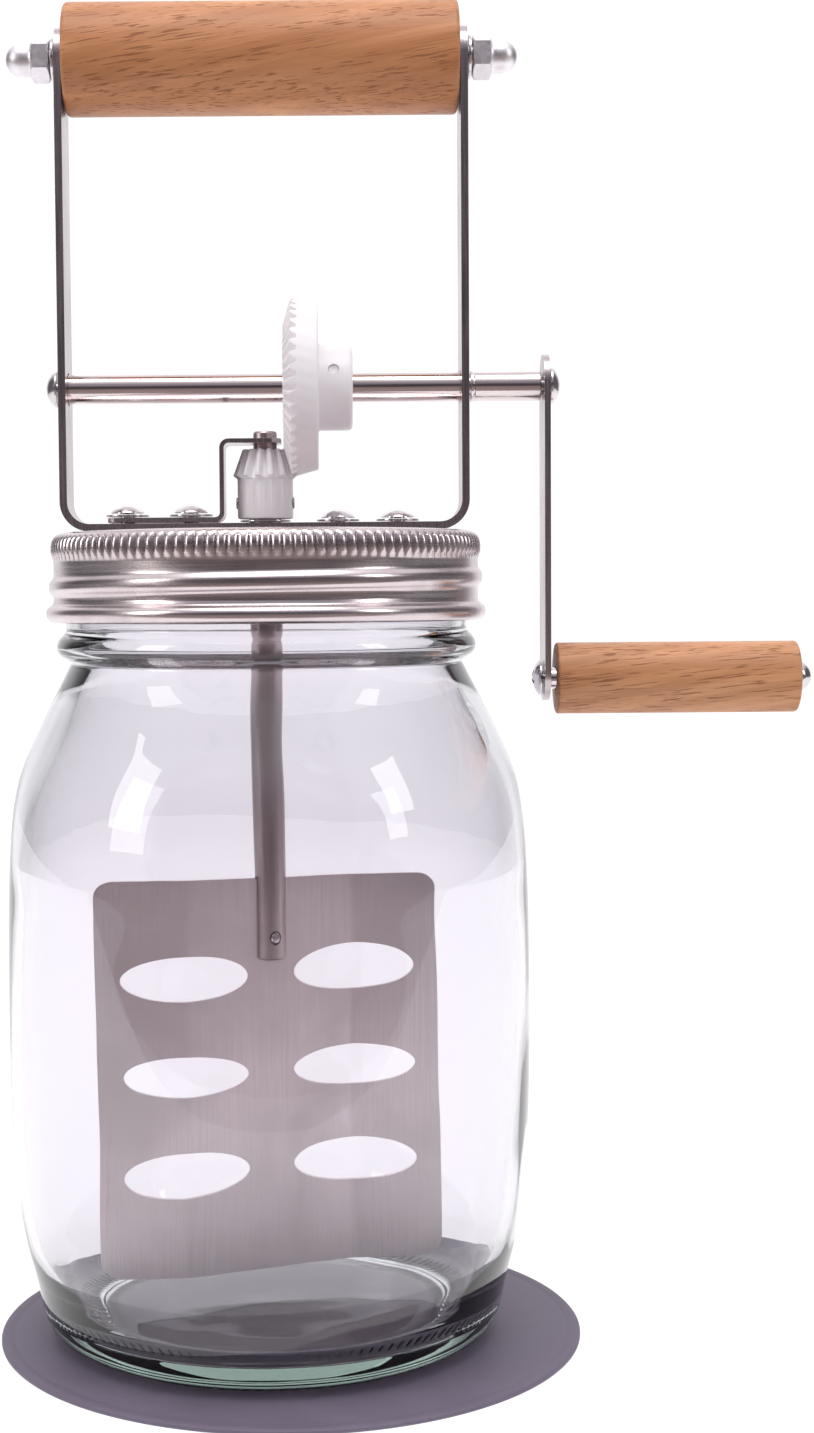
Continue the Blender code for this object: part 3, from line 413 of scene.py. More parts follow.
def strip(path, width, thickness, end_radius, to_world, end_steps=16, spacing=None):
    """A bent strip of sheet with rounded ends, as vertices and faces."""
    lengths = [0.0]
    for a, b in zip(path, path[1:]):
        lengths.append(lengths[-1] + (b - a).length)
    total = lengths[-1]
    stations = set(lengths)
    for i in range(1, end_steps + 1):
        s = end_radius * (1 - math.cos(math.pi / 2 * i / end_steps))
        stations |= {s, total - s}
    if spacing:
        stations |= {spacing * i for i in range(int(total / spacing) + 1)}
    merged = []
    for s in sorted(stations):
        if not merged or s - merged[-1] > 0.012:
            merged.append(s)
    merged[-1] = total
    rings = []
    for s in merged:
        k = max(i for i in range(len(lengths) - 1) if lengths[i] <= s + 1e-9)
        mix = (s - lengths[k]) / (lengths[k + 1] - lengths[k])
        point = path[k].lerp(path[k + 1], mix)
        tangent = (path[k + 1] - path[k]).normalized()
        stretch = 1.0
        if mix < 1e-6 and k > 0:
            bisector = (tangent + (path[k] - path[k - 1]).normalized()).normalized()
            stretch = 1 / bisector.dot(tangent)
            tangent = bisector
        normal = Vector((-tangent.y, tangent.x)) * stretch
        inset = min(s, total - s)
        half = width / 2
        if inset < end_radius:
            half += math.sqrt(max(0.0, end_radius**2 - (end_radius - inset) ** 2)) - end_radius
        half = max(half, 0.3)
        low, high = point - normal * thickness / 2, point + normal * thickness / 2
        rings.append([to_world(low.x, low.y, -half), to_world(low.x, low.y, half), to_world(high.x, high.y, half), to_world(high.x, high.y, -half)])
    verts, faces = skin(rings)
    faces.append((3, 2, 1, 0))
    last = len(verts) - 4
    faces.append((last, last + 1, last + 2, last + 3))
    return verts, faces


tools = []


def cutter(axis, centre, radius, start, end, segments=48, squash=1.0, turn_x=0.0, turn_z=0.0, about=(0, 0, 0)):
    rings = [[spot(axis, centre, 0, 0, start)]]
    for travel in (start, end):
        ring = [spot(axis, centre, radius, TAU * (i + 0.37) / segments, travel) for i in range(segments)]
        if squash != 1.0:
            ring = [(x, y, centre[2] + (z - centre[2]) * squash) for x, y, z in ring]
        rings.append(ring)
    rings.append([spot(axis, centre, 0, 0, end)])
    verts, faces = skin(rings)
    return tool_mesh(verts, faces, turn_x, turn_z, about)


def tool_mesh(verts, faces, turn_x=0.0, turn_z=0.0, about=(0, 0, 0)):
    move = Matrix.Translation(about) @ Matrix.Rotation(turn_z, 4, "Z") @ Matrix.Rotation(turn_x, 4, "X") @ Matrix.Translation(-Vector(about))
    verts = [move @ Vector(v) for v in verts]
    mesh = bpy.data.meshes.new("tool")
    mesh.from_pydata([tuple(v * MM) for v in verts], [], faces)
    bm = bmesh.new()
    bm.from_mesh(mesh)
    bmesh.ops.recalc_face_normals(bm, faces=bm.faces)
    if bm.calc_volume(signed=True) < 0:
        bmesh.ops.reverse_faces(bm, faces=bm.faces)
    bm.to_mesh(mesh)
    bm.free()
    made = bpy.data.objects.new(f"tool_{len(tools)}", mesh)
    bpy.context.scene.collection.objects.link(made)
    made.hide_render = True
    tools.append(made)
    return made


def brick(low, high, turn_x=0.0, turn_z=0.0, about=(0, 0, 0)):
    x0, y0, z0 = low
    x1, y1, z1 = high
    verts = [(x, y, z) for x in (x0, x1) for y in (y0, y1) for z in (z0, z1)]
    faces = [(0, 1, 3, 2), (4, 6, 7, 5), (0, 4, 5, 1), (2, 3, 7, 6), (0, 2, 6, 4), (1, 5, 7, 3)]
    return tool_mesh(verts, faces, turn_x, turn_z, about)


# ---------------------------------------------------------------- mat
lathe(
    "mat",
    [(0, 0), (59.2, 0), (59.5, 0.3), (59.5, 0.8), (59.25, 1.08), (58.9, 1.2), (57.2, 1.2), (56.9, 1.12), (56.6, 1.2), (40, 1.2), (0, 1.2)],
    "jar", silicone, "base_mat", centre=(3.8, 0, 0), segments=192,
)

# ---------------------------------------------------------------- jar
JAR_SEGMENTS = 192
outside = curve(
    [(41.5, 1.5), (46.2, 4.7), (48.4, 13.1), (51.2, 25.5), (52.9, 45.5), (53.2, 73.5), (52.7, 97.5), (50.9, 113.5), (46.1, 125.5), (42.0, 133.5), (39.7, 138.1)],
    7,
)
outside[0] = (40.4, 1.5)
outside.insert(1, (41.3, 1.75))
neck = curve([(39.7, 138.1), (40.4, 138.9), (41.9, 139.9), (42.5, 141.3), (42.1, 142.9), (41.1, 144.0), (40.6, 144.9)], 4)[1:]
finish_wall = [(40.6, 144.9 + 15.9 * i / 46) for i in range(1, 47)]
rim = [(40.45, 161.3), (40.1, 161.6), (39.6, 161.8), (38.8, 161.8), (38.2, 161.75), (37.75, 161.5), (37.45, 161.0)]
inside = curve(
    [(37.4, 160.4), (37.4, 150.0), (37.4, 142.5), (37.45, 139.0), (38.5, 132.5), (42.6, 124.0), (47.8, 112.5), (50.0, 99.0), (50.2, 85.5), (50.2, 57.5), (48.2, 26.5), (44.6, 13.5), (42.4, 9.4), (39.0, 7.0)],
    6,
)
inside += [(36.6, 6.5), (33.4, 6.35), (26, 6.9), (16, 7.8), (7, 8.35), (0, 8.5)]
underside = [(0, 3.9), (12, 3.82), (24, 3.62), (31.5, 3.35), (35.5, 2.9), (37.6, 2.3), (38.6, 1.75), (39.4, 1.5)]
profile = [*underside, *outside, *neck, *finish_wall, *rim, *inside]
inner_from = len(underside) + len(outside) + len(neck) + len(finish_wall) + 6
thread_low, pitch = 146.6, 5.08
rings = []
for k, (r, z) in enumerate(profile):
    if r == 0:
        rings.append([(0, 0, z)])
        continue
    ring = []
    for i in range(JAR_SEGMENTS):
        a = TAU * i / JAR_SEGMENTS
        radius = r
        if k > inner_from and z < 138:
            ease = min(1.0, (138 - z) / 12) * min(1.0, max(0.0, (z - 7) / 12))
            radius += ease * (0.13 * math.sin(2 * a + 0.9 + z * 0.035) + 0.09 * math.sin(5 * a - z * 0.05) + 0.07 * math.sin(3 * a + z * 0.11) + 0.05 * math.sin(9 * a + 1.3 + z * 0.021))
        elif 146 < z < 161 and r == 40.6:
            # One and a half turns of round-topped thread that fade in and out
            rise = (z - thread_low) / pitch - a / TAU
            for turn_count in (0, 1):
                travel = a / TAU + turn_count
                if travel > 1.55:
                    continue
                height = z - (thread_low + pitch * travel + 1.6)
                fade = min(1.0, travel / 0.06, (1.55 - travel) / 0.06)
                radius = max(radius, 40.6 + max(0.0, fade) * 1.25 * math.exp(-((height / 1.15) ** 4)))
        ring.append((radius * math.cos(a), radius * math.sin(a), z))
    rings.append(ring)
verts, faces = skin(rings)
add("jar_glass", verts, faces, "jar", glass, "glass_jar", sharp=80)

# ---------------------------------------------------------------- seal
tube("seal_ring", 37.8, 41.0, 162.1, 163.5, "seal", seal_white, "lid_gasket", "seal_silicone", segments=128, soft=0.3)

# ---------------------------------------------------------------- lid
FLUTES = 130
LID_SEGMENTS = FLUTES * 6
flat = [(4.9, 164.4)] + [(r, 164.4) for r in (8, 14, 22, 30, 36, 39.2)]
side = [
    (40.6, 164.4, 0.0), (41.3, 164.33, 0.0), (41.9, 164.15, 0.0), (42.5, 163.8, 0.12), (42.95, 163.35, 0.6), (43.25, 162.8, 1.0),
    (43.42, 162.2, 1.0), (43.5, 161.5, 1.0), (43.5, 160.8, 1.0), (43.45, 160.2, 0.9), (43.3, 159.7, 0.6), (43.1, 159.2, 0.2), (42.98, 158.8, 0.0),
]
wall = [(42.95, 158.8 - 8.0 * i / 32) for i in range(1, 33)]
bead = curve([(43.05, 150.6), (43.2, 150.1), (43.9, 149.55), (44.4, 148.95), (44.5, 148.2), (44.35, 147.4), (43.9, 146.8), (43.3, 146.5), (42.8, 146.75), (42.55, 147.4), (42.5, 148.4)], 2)
ring_rows = [(r, z, 0.0, 0) for r, z in flat] + [(r, z, f, 0) for r, z, f in side]
ring_rows += [(r, z, 0.0, 1) for r, z in wall] + [(r, z, 0.0, 0) for r, z in bead]
ring_rows += [(42.35, 149.6, 0.0, 0)] + [(42.35, z, 0.0, 2) for _, z in reversed(wall[:-4])]
ring_rows += [(42.5, 159.4, 0, 0), (42.7, 160.4, 0, 0), (42.7, 161.6, 0, 0), (42.4, 162.7, 0, 0), (41.6, 163.5, 0, 0), (40.4, 163.8, 0, 0), (30, 163.8, 0, 0), (16, 163.8, 0, 0), (4.9, 163.8, 0, 0)]


def pressed(a, z):
    """How far the pressed thread stands out of the lid's wall."""
    a = (a - math.radians(90)) % TAU  # it starts and ends at the back
    centre = 154.3 + 3.4 * (a / TAU - 0.5)
    fade = min(1.0, a / 0.25, (TAU - a) / 0.25)
    return fade * 0.9 * math.exp(-(((z - centre) / 1.55) ** 4))


angles = [TAU * i / LID_SEGMENTS for i in range(LID_SEGMENTS)]
rings = []
for r, z, flute, kind in ring_rows:
    ring = []
    for a in angles:
        radius, height = r, z
        if flute:
            groove = 1 - abs(math.cos(FLUTES * a / 2)) ** 0.75
            radius -= 0.62 * flute * groove
        if kind:
            radius += pressed(a, z)
        ring.append((radius * math.cos(a), radius * math.sin(a), height))
    rings.append(ring)
verts, faces = skin(rings, cyclic=True)
rivet_x = (-28.0, -15.1, 14.7, 26.8)
lid_holes = [cutter("Z", (x, 0, 0), 1.8, 160, 170, 32) for x in rivet_x]
add("lid_cap", verts, faces, "lid", lid_steel, "screw_lid", sharp=48, cutters=lid_holes)

# ---------------------------------------------------------------- carrying frame
verts, faces = strip(
    filleted([(-40.35, 265.4), (-40.35, 165.45), (40.35, 165.45), (40.35, 265.4)], [5.2, 5.2], 12),
    12.4, 1.5, 6.2, lambda u, v, w: (u, w, v), 18,
)
holes = [cutter("X", (0, 0, 193.5), 3.3, s * 44.1, s * 36.1) for s in (-1, 1)]
holes += [cutter("X", (0, 0, 259.2), 2.8, s * 44.1, s * 36.1) for s in (-1, 1)]
holes += [cutter("Z", (0, 0, 0), 4.9, 162, 168.7)] + [cutter("Z", (x, 0, 0), 1.8, 162, 168.7, 32) for x in rivet_x]
add("frame_strip", verts, faces, "lid", sheet_upright, "frame", sharp=18, cutters=holes, edge=0.14)

# ---------------------------------------------------------------- pinion bracket
verts, faces = strip(
    filleted([(-31.75, 166.95), (-8.6, 166.95), (-8.6, 182.65), (3.3, 182.65)], [1.4, 1.4], 8),
    11.0, 0.9, 2.2, lambda u, v, w: (u, w, v), 8,
)
holes = [cutter("Z", (0, 0, 0), 2.7, 179, 186)] + [cutter("Z", (x, 0, 0), 1.8, 164, 170, 32) for x in rivet_x[:2]]
add("bracket_strip", verts, faces, "lid", sheet_upright, "pinion_bracket", sharp=18, cutters=holes, edge=0.1)

# ---------------------------------------------------------------- rivets and their washers
for number, x in enumerate(rivet_x, 1):
    seat = 167.7 if x < 0 else 166.5
    head = seat + 0.7
    tube(f"washer_{number}", 1.8, 4.4, seat, seat + 0.4, "lid", bright, f"rivet_washer_{number}", "fastener_steel", centre=(x, 0, 0), segments=64, soft=0.12)
    crown = dome(3.45, head + 0.12, 1.73, 10)
    lathe(
        f"rivet_head_{number}",
        [(0, 162.4), (1.6, 162.45), (2.3, 162.7), (2.6, 163.1), (2.6, 163.5), (1.5, 163.5), (1.5, head), (3.4, head), *crown],
        "lid", bright, f"rivet_{number}", centre=(x, 0, 0), segments=64,
    )

# ---------------------------------------------------------------- bush
lathe(
    "rod_bush", [(3.55, 162.3), (8.0, 162.3), (8.0, 163.5), (4.6, 163.5), (4.6, 166.2), (3.55, 166.2)],
    "lid", nylon, "shaft_bushing", segments=64, closed=True, soft=0.2,
)

# ---------------------------------------------------------------- top handle
TOP = (0, 0, 259.2)
edge_curve = [(11.15 - 0.9 * (1 - math.sin(math.pi / 2 * i / 6)), 0.9 * (1 - math.cos(math.pi / 2 * i / 6))) for i in range(7)]
half = 39.3
outline = [(2.8, -half), (10.0, -half)] + [(r, -half + t) for r, t in edge_curve]
outline += [(11.15, -half * k) for k in (0.75, 0.5, 0.25, 0.0, -0.25, -0.5, -0.75)]
outline += [(r, half - t) for r, t in reversed(edge_curve)] + [(10.0, half), (2.8, half)]
lathe("handle_wood", outline, "lid", beech_top, "top_handle", "X", TOP, 96, True, sharp=50)
lathe(
    "handle_bar", [(0, -48.7), (2.0, -48.7), (2.5, -48.2), (2.5, 48.2), (2.0, 48.7), (0, 48.7)],
    "lid", shaft_x, "handle_rod", "X", TOP, 48, soft=0.1,
)


def acorn(name, sign, node):
    segments = 96
    rings = []

    def row(limit, travel, flat=4.0):
        ring = []
        for i in range(segments):
            angle = TAU * i / segments
            fold = (angle + math.pi / 6) % (math.pi / 3) - math.pi / 6
            ring.append(spot("X", TOP, min(limit, flat / math.cos(fold)), angle, sign * (42.3 + travel)))
        return ring

    def circle(radius, travel):
        if radius == 0:
            return [spot("X", TOP, 0, 0, sign * (42.3 + travel))]
        return [spot("X", TOP, radius, TAU * i / segments, sign * (42.3 + travel)) for i in range(segments)]

    rings += [circle(0, 6.7), circle(2.8, 6.7), circle(2.8, 0), circle(3.7, 0)]
    rings += [row(3.85 + 0.78 * t / 0.42, t) for t in (0.02, 0.1, 0.2, 0.3, 0.42)]
    rings += [row(9, t) for t in (0.8, 1.6, 2.4, 3.0)]
    rings += [row(3.85 + 0.78 * (3.7 - t) / 0.42, t) for t in (3.28, 3.4, 3.5, 3.6, 3.68)]
    rings += [circle(3.72, 3.72), circle(3.5, 3.8), circle(3.38, 4.0), circle(3.32, 4.4), circle(3.3, 5.0), circle(3.3, 5.9)]
    rings += [circle(r, t) for r, t in dome(3.3, 5.9, 3.1, 12)[1:]]
    verts, faces = skin(rings)
    return add(name, verts, faces, "lid", zinc, node, sharp=28)


for word, sign in (("left", -1), ("right", 1)):
    ends = sorted((sign * 41.4, sign * 42.0))
    tube(f"nut_washer_{word}", 2.8, 4.4, *ends, "lid", bright, f"handle_washer_{word}", "shaft_steel", "X", TOP, 64, 0.15)
    acorn(f"cap_nut_{word}", sign, f"acorn_nut_{word}")

# ---------------------------------------------------------------- dasher rod
PANEL = math.radians(20.5)
rod_profile = [
    (0, 76.9), (2.85, 76.9), (3.1, 77.0), (3.25, 77.3), (3.25, 175.4), (2.4, 175.4), (2.4, 184.3), (2.25, 184.65), (1.9, 184.8), (0, 184.8),
]
rod_cut = [brick((-8, -0.8, 72), (8, 0.8, 94.9), turn_z=PANEL), cutter("Y", (0, 0, 81.0), 1.3, -8, 8, 32, turn_z=PANEL)]
lathe("dasher_rod", rod_profile, "dasher", shaft_z, "paddle_shaft", segments=72, sharp=18, cutters=rod_cut, edge=0.08)

# ---------------------------------------------------------------- paddle
fold_point = Vector((18.0 * math.cos(PANEL), 18.0 * math.sin(PANEL)))
wing = math.radians(5.0)
tip_point = fold_point + Vector((18.2 * math.cos(wing), 18.2 * math.sin(wing)))
verts, faces = strip(
    filleted([-tip_point, -fold_point, fold_point, tip_point], [6.0, 6.0], 8),
    81.6, 1.0, 4.0, lambda u, v, w: (u, v, 53.8 + w), 12,
)
holes = [cutter("Y", (x, 0, 53.8 + 20.3 * k), 12.5, -20, 20, 64, 4.4 / 12.5) for x in (-17.4, 17.4) for k in (-1, 0, 1)]
holes.append(cutter("Y", (0, 0, 81.0), 1.3, -8, 8, 32, turn_z=PANEL))
add("paddle_sheet", verts, faces, "dasher", sheet_paddle, "paddle", sharp=18, cutters=holes, edge=0.1)
pin = turn([(0, -3.5), (0.8, -3.45), (1.0, -3.25), (1.0, 3.25), (0.8, 3.45), (0, 3.5)], "Y", (0, 0, 81.0), 32)
spin = Matrix.Rotation(PANEL, 3, "Z")
add("cross_pin", [spin @ Vector(v) for v in pin[0]], pin[1], "dasher", bright, "paddle_pin")

# ---------------------------------------------------------------- gears
MODULE, PRESSURE, ADDENDUM, DEDENDUM, BACKLASH, FACE = 0.85, math.radians(25), 0.65 * 0.85, 0.95 * 0.85, 0.12, 0.70
APEX_Z = 193.5


def tooth_ring(teeth, mate, scale, place, phase):
    """Sixteen points to a tooth: root fillet, involute flank and a softly rounded tip."""
    cone = math.atan(teeth / mate)
    pitch_r = MODULE * teeth / 2
    back_r = pitch_r / math.cos(cone)
    base_r = back_r * math.cos(PRESSURE)

    def involute(angle):
        return math.tan(angle) - angle

    def outline(offset, grow=0.0):
        flank = max(back_r + offset, base_r)
        at = math.acos(base_r / flank)
        half = (math.pi * MODULE / 2 - BACKLASH) / (2 * back_r) + involute(PRESSURE) - involute(at)
        radius = pitch_r + offset * math.cos(cone)
        distance = pitch_r / math.tan(cone) - offset * math.sin(cone)
        return radius * scale, distance * scale, half * (back_r + offset) / radius + grow / radius

    rows = [
        outline(-DEDENDUM, 0.12), outline(-0.93 * DEDENDUM, 0.03), outline(-0.6 * DEDENDUM), outline(-0.1 * DEDENDUM),
        outline(0.35 * ADDENDUM), outline(0.75 * ADDENDUM), outline(0.95 * ADDENDUM, -0.02), outline(ADDENDUM, -0.09),
    ]
    ring = []
    for i in range(teeth):
        middle = phase + TAU * i / teeth
        for sign, order in ((-1, rows), (1, rows[::-1])):
            ring += [place(radius, distance, middle + sign * half_angle) for radius, distance, half_angle in order]
    return ring


def on_pinion(radius, distance, angle):
    return (radius * math.cos(angle), radius * math.sin(angle), APEX_Z - distance)


def on_gear(radius, distance, angle):
    return (distance, radius * math.sin(angle), APEX_Z - radius * math.cos(angle))


def circle(place, radius, distance, count, phase=0.0):
    return [place(radius, distance, phase + TAU * i / count) for i in range(count)]


large = MODULE * 42 / 2
hub_top = APEX_Z - large - 0.55
n = 14 * 16
rings = [
    circle(on_pinion, 3.55, APEX_Z - 167.1, n), circle(on_pinion, 5.2, APEX_Z - 167.1, n), circle(on_pinion, 5.5, APEX_Z - 167.2, n),
    circle(on_pinion, 5.64, APEX_Z - 167.5, n), circle(on_pinion, 5.64, APEX_Z - hub_top, n),
    tooth_ring(14, 42, 1.0, on_pinion, 0.0), tooth_ring(14, 42, FACE, on_pinion, 0.0),
    circle(on_pinion, 2.7, large * FACE, n), circle(on_pinion, 2.7, APEX_Z - 175.7, n), circle(on_pinion, 3.55, APEX_Z - 175.7, n),
]
verts, faces = skin(rings, cyclic=True)
holes = [cutter("X", (0, 0, 170.3), 1.5, s * 3.05, s * 7.64, 32) for s in (-1, 1)]
add("pinion_teeth", verts, faces, "dasher", nylon, "pinion_gear", sharp=42, cutters=holes)

gear_phase = math.pi / 42
rim_r = large + 0.25 - (10.9 - large / 3) * math.cos(math.atan(3))
n = 42 * 16
rings = [
    circle(on_gear, 3.3, 3.85, 84, gear_phase), circle(on_gear, 10.4, 3.85, 84, gear_phase), circle(on_gear, 10.9, 3.95, 84, gear_phase),
    tooth_ring(42, 14, FACE, on_gear, gear_phase), tooth_ring(42, 14, 1.0, on_gear, gear_phase),
    circle(on_gear, rim_r + 0.05, 10.55, n, gear_phase), circle(on_gear, rim_r, 10.7, 84, gear_phase), circle(on_gear, rim_r - 0.35, 10.9, 84, gear_phase),
    circle(on_gear, 9.1, 10.9, 84, gear_phase), circle(on_gear, 8.75, 11.05, 84, gear_phase), circle(on_gear, 8.65, 11.4, 84, gear_phase),
]
rings += [circle(on_gear, 7.65 + math.cos(t), 16.8 + math.sin(t), 84, gear_phase) for t in (0, 0.26, 0.52, 0.79, 1.05, 1.31, 1.5708)]
rings += [circle(on_gear, 3.6, 17.8, 84, gear_phase), circle(on_gear, 3.3, 17.5, 84, gear_phase)]
verts, faces = skin(rings, cyclic=True)
TILT = math.radians(-20)
gear_hole = cutter("Y", (14.0, 0, APEX_Z), 1.12, -12, -2.0, 40, turn_x=TILT, about=(0, 0, APEX_Z))
add("gear_wheel", verts, faces, "crank", nylon, "drive_gear", sharp=42, cutters=[gear_hole])


def hex_tool(axis, centre, flats, start, end, turn_x=0.0, about=(0, 0, 0)):
    return cutter(axis, centre, flats / math.cos(math.pi / 6), start, end, 6, turn_x=turn_x, about=about)


screw = turn([(0, -3.4), (0.7, -3.4), (1.08, -3.8), (1.08, -8.15), (0.9, -8.35), (0.45, -8.2), (0, -8.15)], "Y", (14.0, 0, APEX_Z), 40)
tilt = Matrix.Translation((0, 0, APEX_Z)) @ Matrix.Rotation(TILT, 4, "X") @ Matrix.Translation((0, 0, -APEX_Z))
add("gear_grub_screw", [tilt @ Vector(v) for v in screw[0]], screw[1], "crank", nylon, "gear_set_screw")
for word, sign in (("left", -1), ("right", 1)):
    ends = [(0, sign * 3.65), (0.8, sign * 3.65), (1.2, sign * 4.0), (1.2, sign * 5.7), (1.05, sign * 5.89), (0, sign * 5.89)]
    socket = hex_tool("X", (0, 0, 170.3), 0.62, *sorted((sign * 4.6, sign * 7.5)))
    lathe(f"pinion_grub_screw_{word}", ends, "dasher", shaft_z, f"pinion_set_screw_{word}", "X", (0, 0, 170.3), 40, cutters=[socket])
tube("thrust_ring", 3.55, 5.2, 166.5, 166.8, "dasher", bright, "thrust_washer", "fastener_steel", segments=64, soft=0.08)

# ---------------------------------------------------------------- drive shaft
DRIVE = (0, 0, 193.5)
lathe(
    "drive_bar",
    [
        (0, -33.2), (1.8, -33.2), (1.8, -41.2), (2.7, -41.2), (3.0, -40.9), (3.0, 41.3), (2.9, 41.4), (2.3, 41.4), (2.3, 42.5), (2.9, 42.5),
        (3.0, 42.6), (3.0, 55.6), (2.7, 55.9), (1.8, 55.9), (1.8, 46.9), (0, 46.9),
    ],
    "crank", shaft_x, "drive_shaft", "X", DRIVE, 72,
)
tube("groove_clip", 2.6, 3.15, 41.65, 42.25, "crank", bright, "shaft_clip", "shaft_steel", "X", DRIVE, 64, 0.1)


def dome_screw(name, z, seat, radius, length, stub, stub_end, node, recess=True):
    """A pan-head screw along X with a cross recess."""
    out = -1 if stub_end > seat else 1
    head = dome(radius, seat + out * 0.45, out * (length - 0.45), 12)[1:]
    points = [(0, stub_end), (stub - 0.3, stub_end), (stub, stub_end + out * 0.3), (stub, seat), (radius - 0.12, seat), (radius, seat + out * 0.12), (radius, seat + out * 0.45), *head]
    tips = []
    if recess:
        top, floor_x = seat + out * (length + 1), seat + out * (length * 0.42)
        a, b = sorted((top, floor_x))
        tips = [brick((a, -1.75, z - 0.32), (b, 1.75, z + 0.32)), brick((a, -0.32, z - 1.75), (b, 0.32, z + 1.75))]
        for tool in tips:
            tool.data.transform(Matrix.Translation((0, 0, z * MM)) @ Matrix.Rotation(math.radians(28), 4, "X") @ Matrix.Translation((0, 0, -z * MM)))
    lathe(name, points, "crank", bright, node, "X", (0, 0, z), 64, cutters=tips)


dome_screw("end_screw", 193.5, -41.7, 3.7, 2.4, 1.5, -33.7, "shaft_end_screw")
verts, faces = strip([Vector((56.8, 129.8)), Vector((56.8, 199.8))], 11.6, 1.2, 5.8, lambda u, v, w: (u, w, v), 20)
holes = [cutter("X", (0, 0, 193.5), 1.8, 53, 61, 32), cutter("X", (0, 0, 134.3), 1.4, 53, 61, 32)]
add("arm_strip", verts, faces, "crank", sheet_upright, "crank_arm", sharp=18, cutters=holes, edge=0.12)
dome_screw("arm_screw", 193.5, 57.7, 3.8, 2.1, 1.5, 47.4, "crank_arm_screw")

# ---------------------------------------------------------------- grip
GRIP = (0, 0, 134.3)
lathe(
    "spindle", [(0, 67.7), (1.4, 67.7), (1.4, 57.7), (2.2, 57.7), (2.2, 107.8), (1.4, 107.8), (1.4, 97.8), (0, 97.8)],
    "crank", shaft_x, "grip_spindle", "X", GRIP, 48, soft=0.1,
)
dome_screw("grip_inner_screw", 134.3, 55.9, 3.6, 1.9, 1.1, 67.2, "grip_screw_inner")
dome_screw("grip_outer_screw", 134.3, 108.1, 3.1, 2.8, 1.1, 98.3, "grip_screw_outer")
edge_curve = [(7.25 - 0.5 * (1 - math.sin(math.pi / 2 * i / 5)), 0.5 * (1 - math.cos(math.pi / 2 * i / 5))) for i in range(6)]
outline = [(2.5, 58.8), (6.6, 58.8)] + [(r, 58.8 + t) for r, t in edge_curve]
outline += [(7.25, 58.8 + 49 * k) for k in (0.2, 0.4, 0.6, 0.8)]
outline += [(r, 107.8 - t) for r, t in reversed(edge_curve)] + [(6.6, 107.8), (2.5, 107.8)]
lathe("grip_wood", outline, "grip", beech_grip, "crank_grip", "X", GRIP, 80, True, sharp=50)

for tool in tools:
    bpy.data.objects.remove(tool, do_unlink=True)

# ---------------------------------------------------------------- floor, light and camera
scene = bpy.context.scene
scene.view_settings.view_transform = "Standard"
scene.view_settings.look = "None"

floor_mesh = bpy.data.meshes.new("floor")
floor_mesh.from_pydata([(-1.6, -0.24, 0), (1.6, -0.24, 0), (1.6, 2.4, 0), (-1.6, 2.4, 0)], [], [(0, 1, 2, 3)])
floor = bpy.data.objects.new("floor", floor_mesh)
scene.collection.objects.link(floor)
paper = Look("white_paper", Roughness=0.9, Specular_IOR_Level=0.1, Emission_Color=(1, 0.99, 1, 1), Emission_Strength=0.80)
paper.set("Base Color", paper.ramp(paper.noise(paper.place, 6.0, 2.0), [(0.3, (0.36, 0.355, 0.36)), (0.7, (0.38, 0.375, 0.38))]))
floor_mesh.materials.append(paper.material)

world = bpy.data.worlds.new("studio")
scene.world = world
world.use_nodes = True
tree = world.node_tree
background = tree.nodes["Background"]


def world_node(kind, inputs=None, **settings):
    node = tree.nodes.new(kind)
    for key, value in settings.items():
        setattr(node, key, value)
    for key, value in (inputs or {}).items():
        if isinstance(value, bpy.types.NodeSocket):
            tree.links.new(value, node.inputs[key])
        else:
            node.inputs[key].default_value = value
    return node


direction = world_node("ShaderNodeTexCoord").outputs["Generated"]
parts = world_node("ShaderNodeSeparateXYZ", {0: direction}).outputs
front = world_node("ShaderNodeMapRange", {0: parts[1], 1: 0.05, 2: -0.5}, interpolation_type="SMOOTHSTEP").outputs[0]
height = world_node("ShaderNodeMapRange", {0: parts[2], 1: -1.0, 2: 1.0}).outputs[0]
ramp = world_node("ShaderNodeValToRGB", {0: height})
stops = [
    (0.0, (0.42, 0.35, 0.35)), (0.40, (0.34, 0.27, 0.26)), (0.475, (0.22, 0.18, 0.18)), (0.50, (0.07, 0.063, 0.07)), (0.63, (0.08, 0.073, 0.085)),
    (0.68, (0.30, 0.28, 0.325)), (0.80, (0.42, 0.395, 0.44)), (0.88, (0.95, 0.93, 0.97)), (1.0, (1.1, 1.07, 1.1)),
]
elements = ramp.color_ramp.elements
while len(elements) < len(stops):
    elements.new(0.5)
for element, (position, colour) in zip(elements, stops):
    element.position = position
    element.color = (*colour, 1)
mixed = world_node("ShaderNodeMix", data_type="RGBA")
tree.links.new(front, mixed.inputs[0])
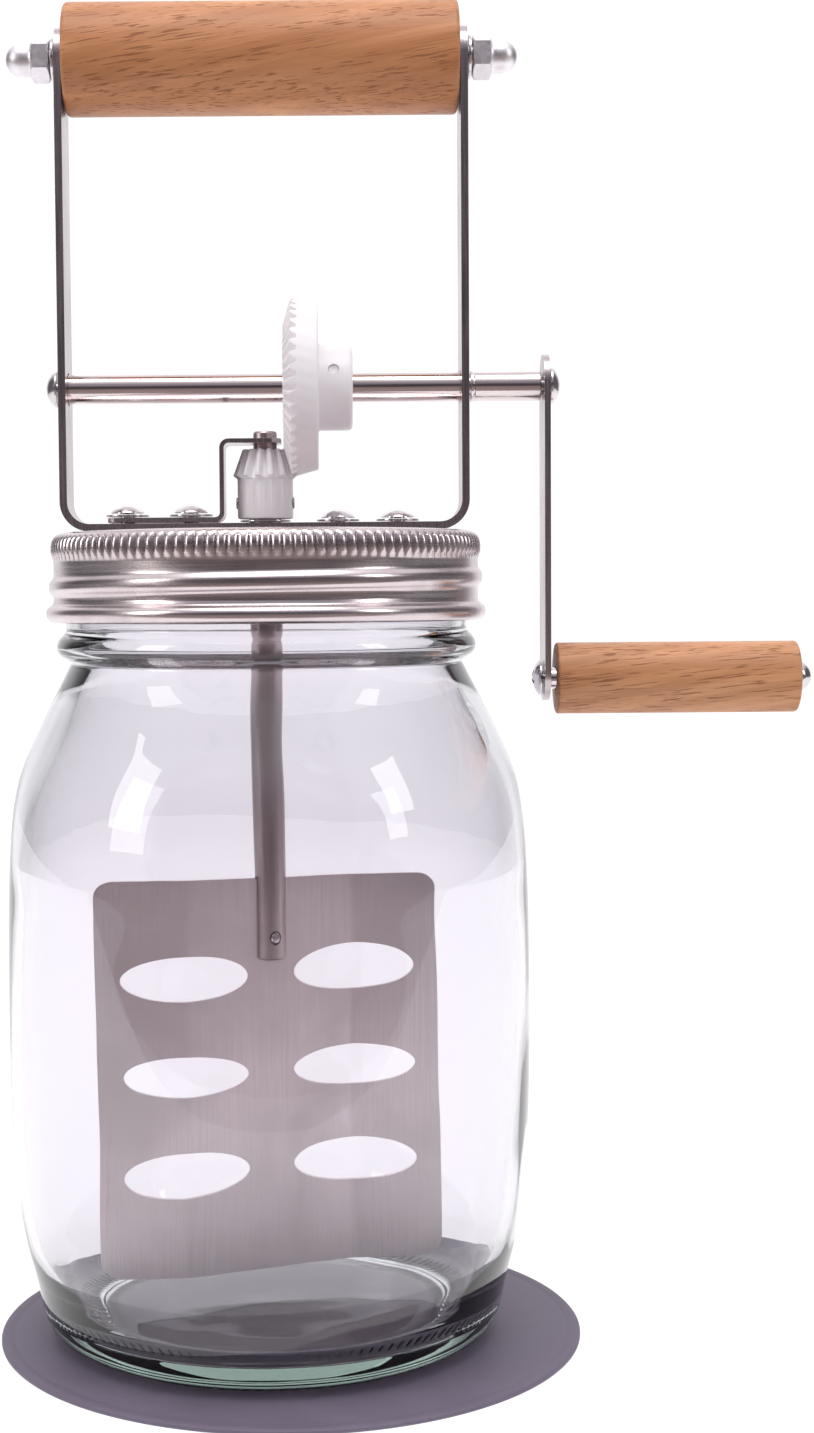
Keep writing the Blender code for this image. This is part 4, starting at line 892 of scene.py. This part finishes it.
# The white background ends at the sides, so that the glass and the steel get dark outlines
aside = world_node("ShaderNodeMath", {0: parts[0]}, operation="ABSOLUTE").outputs[0]
aside = world_node("ShaderNodeMapRange", {0: aside, 1: 0.50, 2: 0.82}, interpolation_type="SMOOTHSTEP").outputs[0]
low = world_node("ShaderNodeMapRange", {0: parts[2], 1: 0.80, 2: 0.45}, interpolation_type="SMOOTHSTEP").outputs[0]
aside = world_node("ShaderNodeMath", {0: aside, 1: low}, operation="MULTIPLY").outputs[0]
behind = world_node("ShaderNodeMix", data_type="RGBA")
tree.links.new(aside, behind.inputs[0])
behind.inputs[6].default_value = (1.03, 1.01, 1.04, 1)
behind.inputs[7].default_value = (0.13, 0.125, 0.135, 1)
tree.links.new(behind.outputs[2], mixed.inputs[6])
tree.links.new(ramp.outputs[0], mixed.inputs[7])
seen = world_node("ShaderNodeLightPath").outputs["Is Camera Ray"]
final = world_node("ShaderNodeMix", data_type="RGBA")
tree.links.new(seen, final.inputs[0])
tree.links.new(mixed.outputs[2], final.inputs[6])
final.inputs[7].default_value = (1.05, 1.05, 1.05, 1)
tree.links.new(final.outputs[2], background.inputs[0])
background.inputs[1].default_value = 1.0


def softbox(name, place, target, size, power, colour=(1, 1, 1)):
    data = bpy.data.lights.new(name, "AREA")
    data.shape = "RECTANGLE"
    data.size, data.size_y = size
    data.energy = power
    data.color = colour
    made = bpy.data.objects.new(name, data)
    scene.collection.objects.link(made)
    made.location = place
    made.rotation_euler = (Vector(target) - Vector(place)).to_track_quat("-Z", "Y").to_euler()
    return made


softbox("overhead", (0.0, -0.30, 1.15), (0, 0, 0.12), (0.9, 0.55), 6.0, (1.0, 0.985, 0.99))
softbox("front_left", (-1.10, -0.55, 0.60), (0, 0, 0.16), (0.40, 0.7), 4.2, (1.0, 0.97, 0.96))
softbox("front_right", (1.15, -0.60, 0.70), (0, 0, 0.16), (0.30, 0.6), 3.0)
softbox("back_wash", (0.0, 0.9, 0.9), (0, 0, 0.1), (1.2, 0.6), 1.0)

camera_data = bpy.data.cameras.new("camera")
camera_data.sensor_width = 36
camera_data.lens = 2216.1 * 36 / 1433
camera_data.shift_x = 81.5 / 1433
camera_data.clip_start = 0.01
camera = bpy.data.objects.new("camera", camera_data)
scene.collection.objects.link(camera)
camera.matrix_world = Matrix.Translation((0.01184, -0.45184, 0.15318)) @ Matrix.Rotation(math.pi / 2 - 0.0583, 4, "X") @ Matrix.Rotation(-0.0079, 4, "Z")
scene.camera = camera
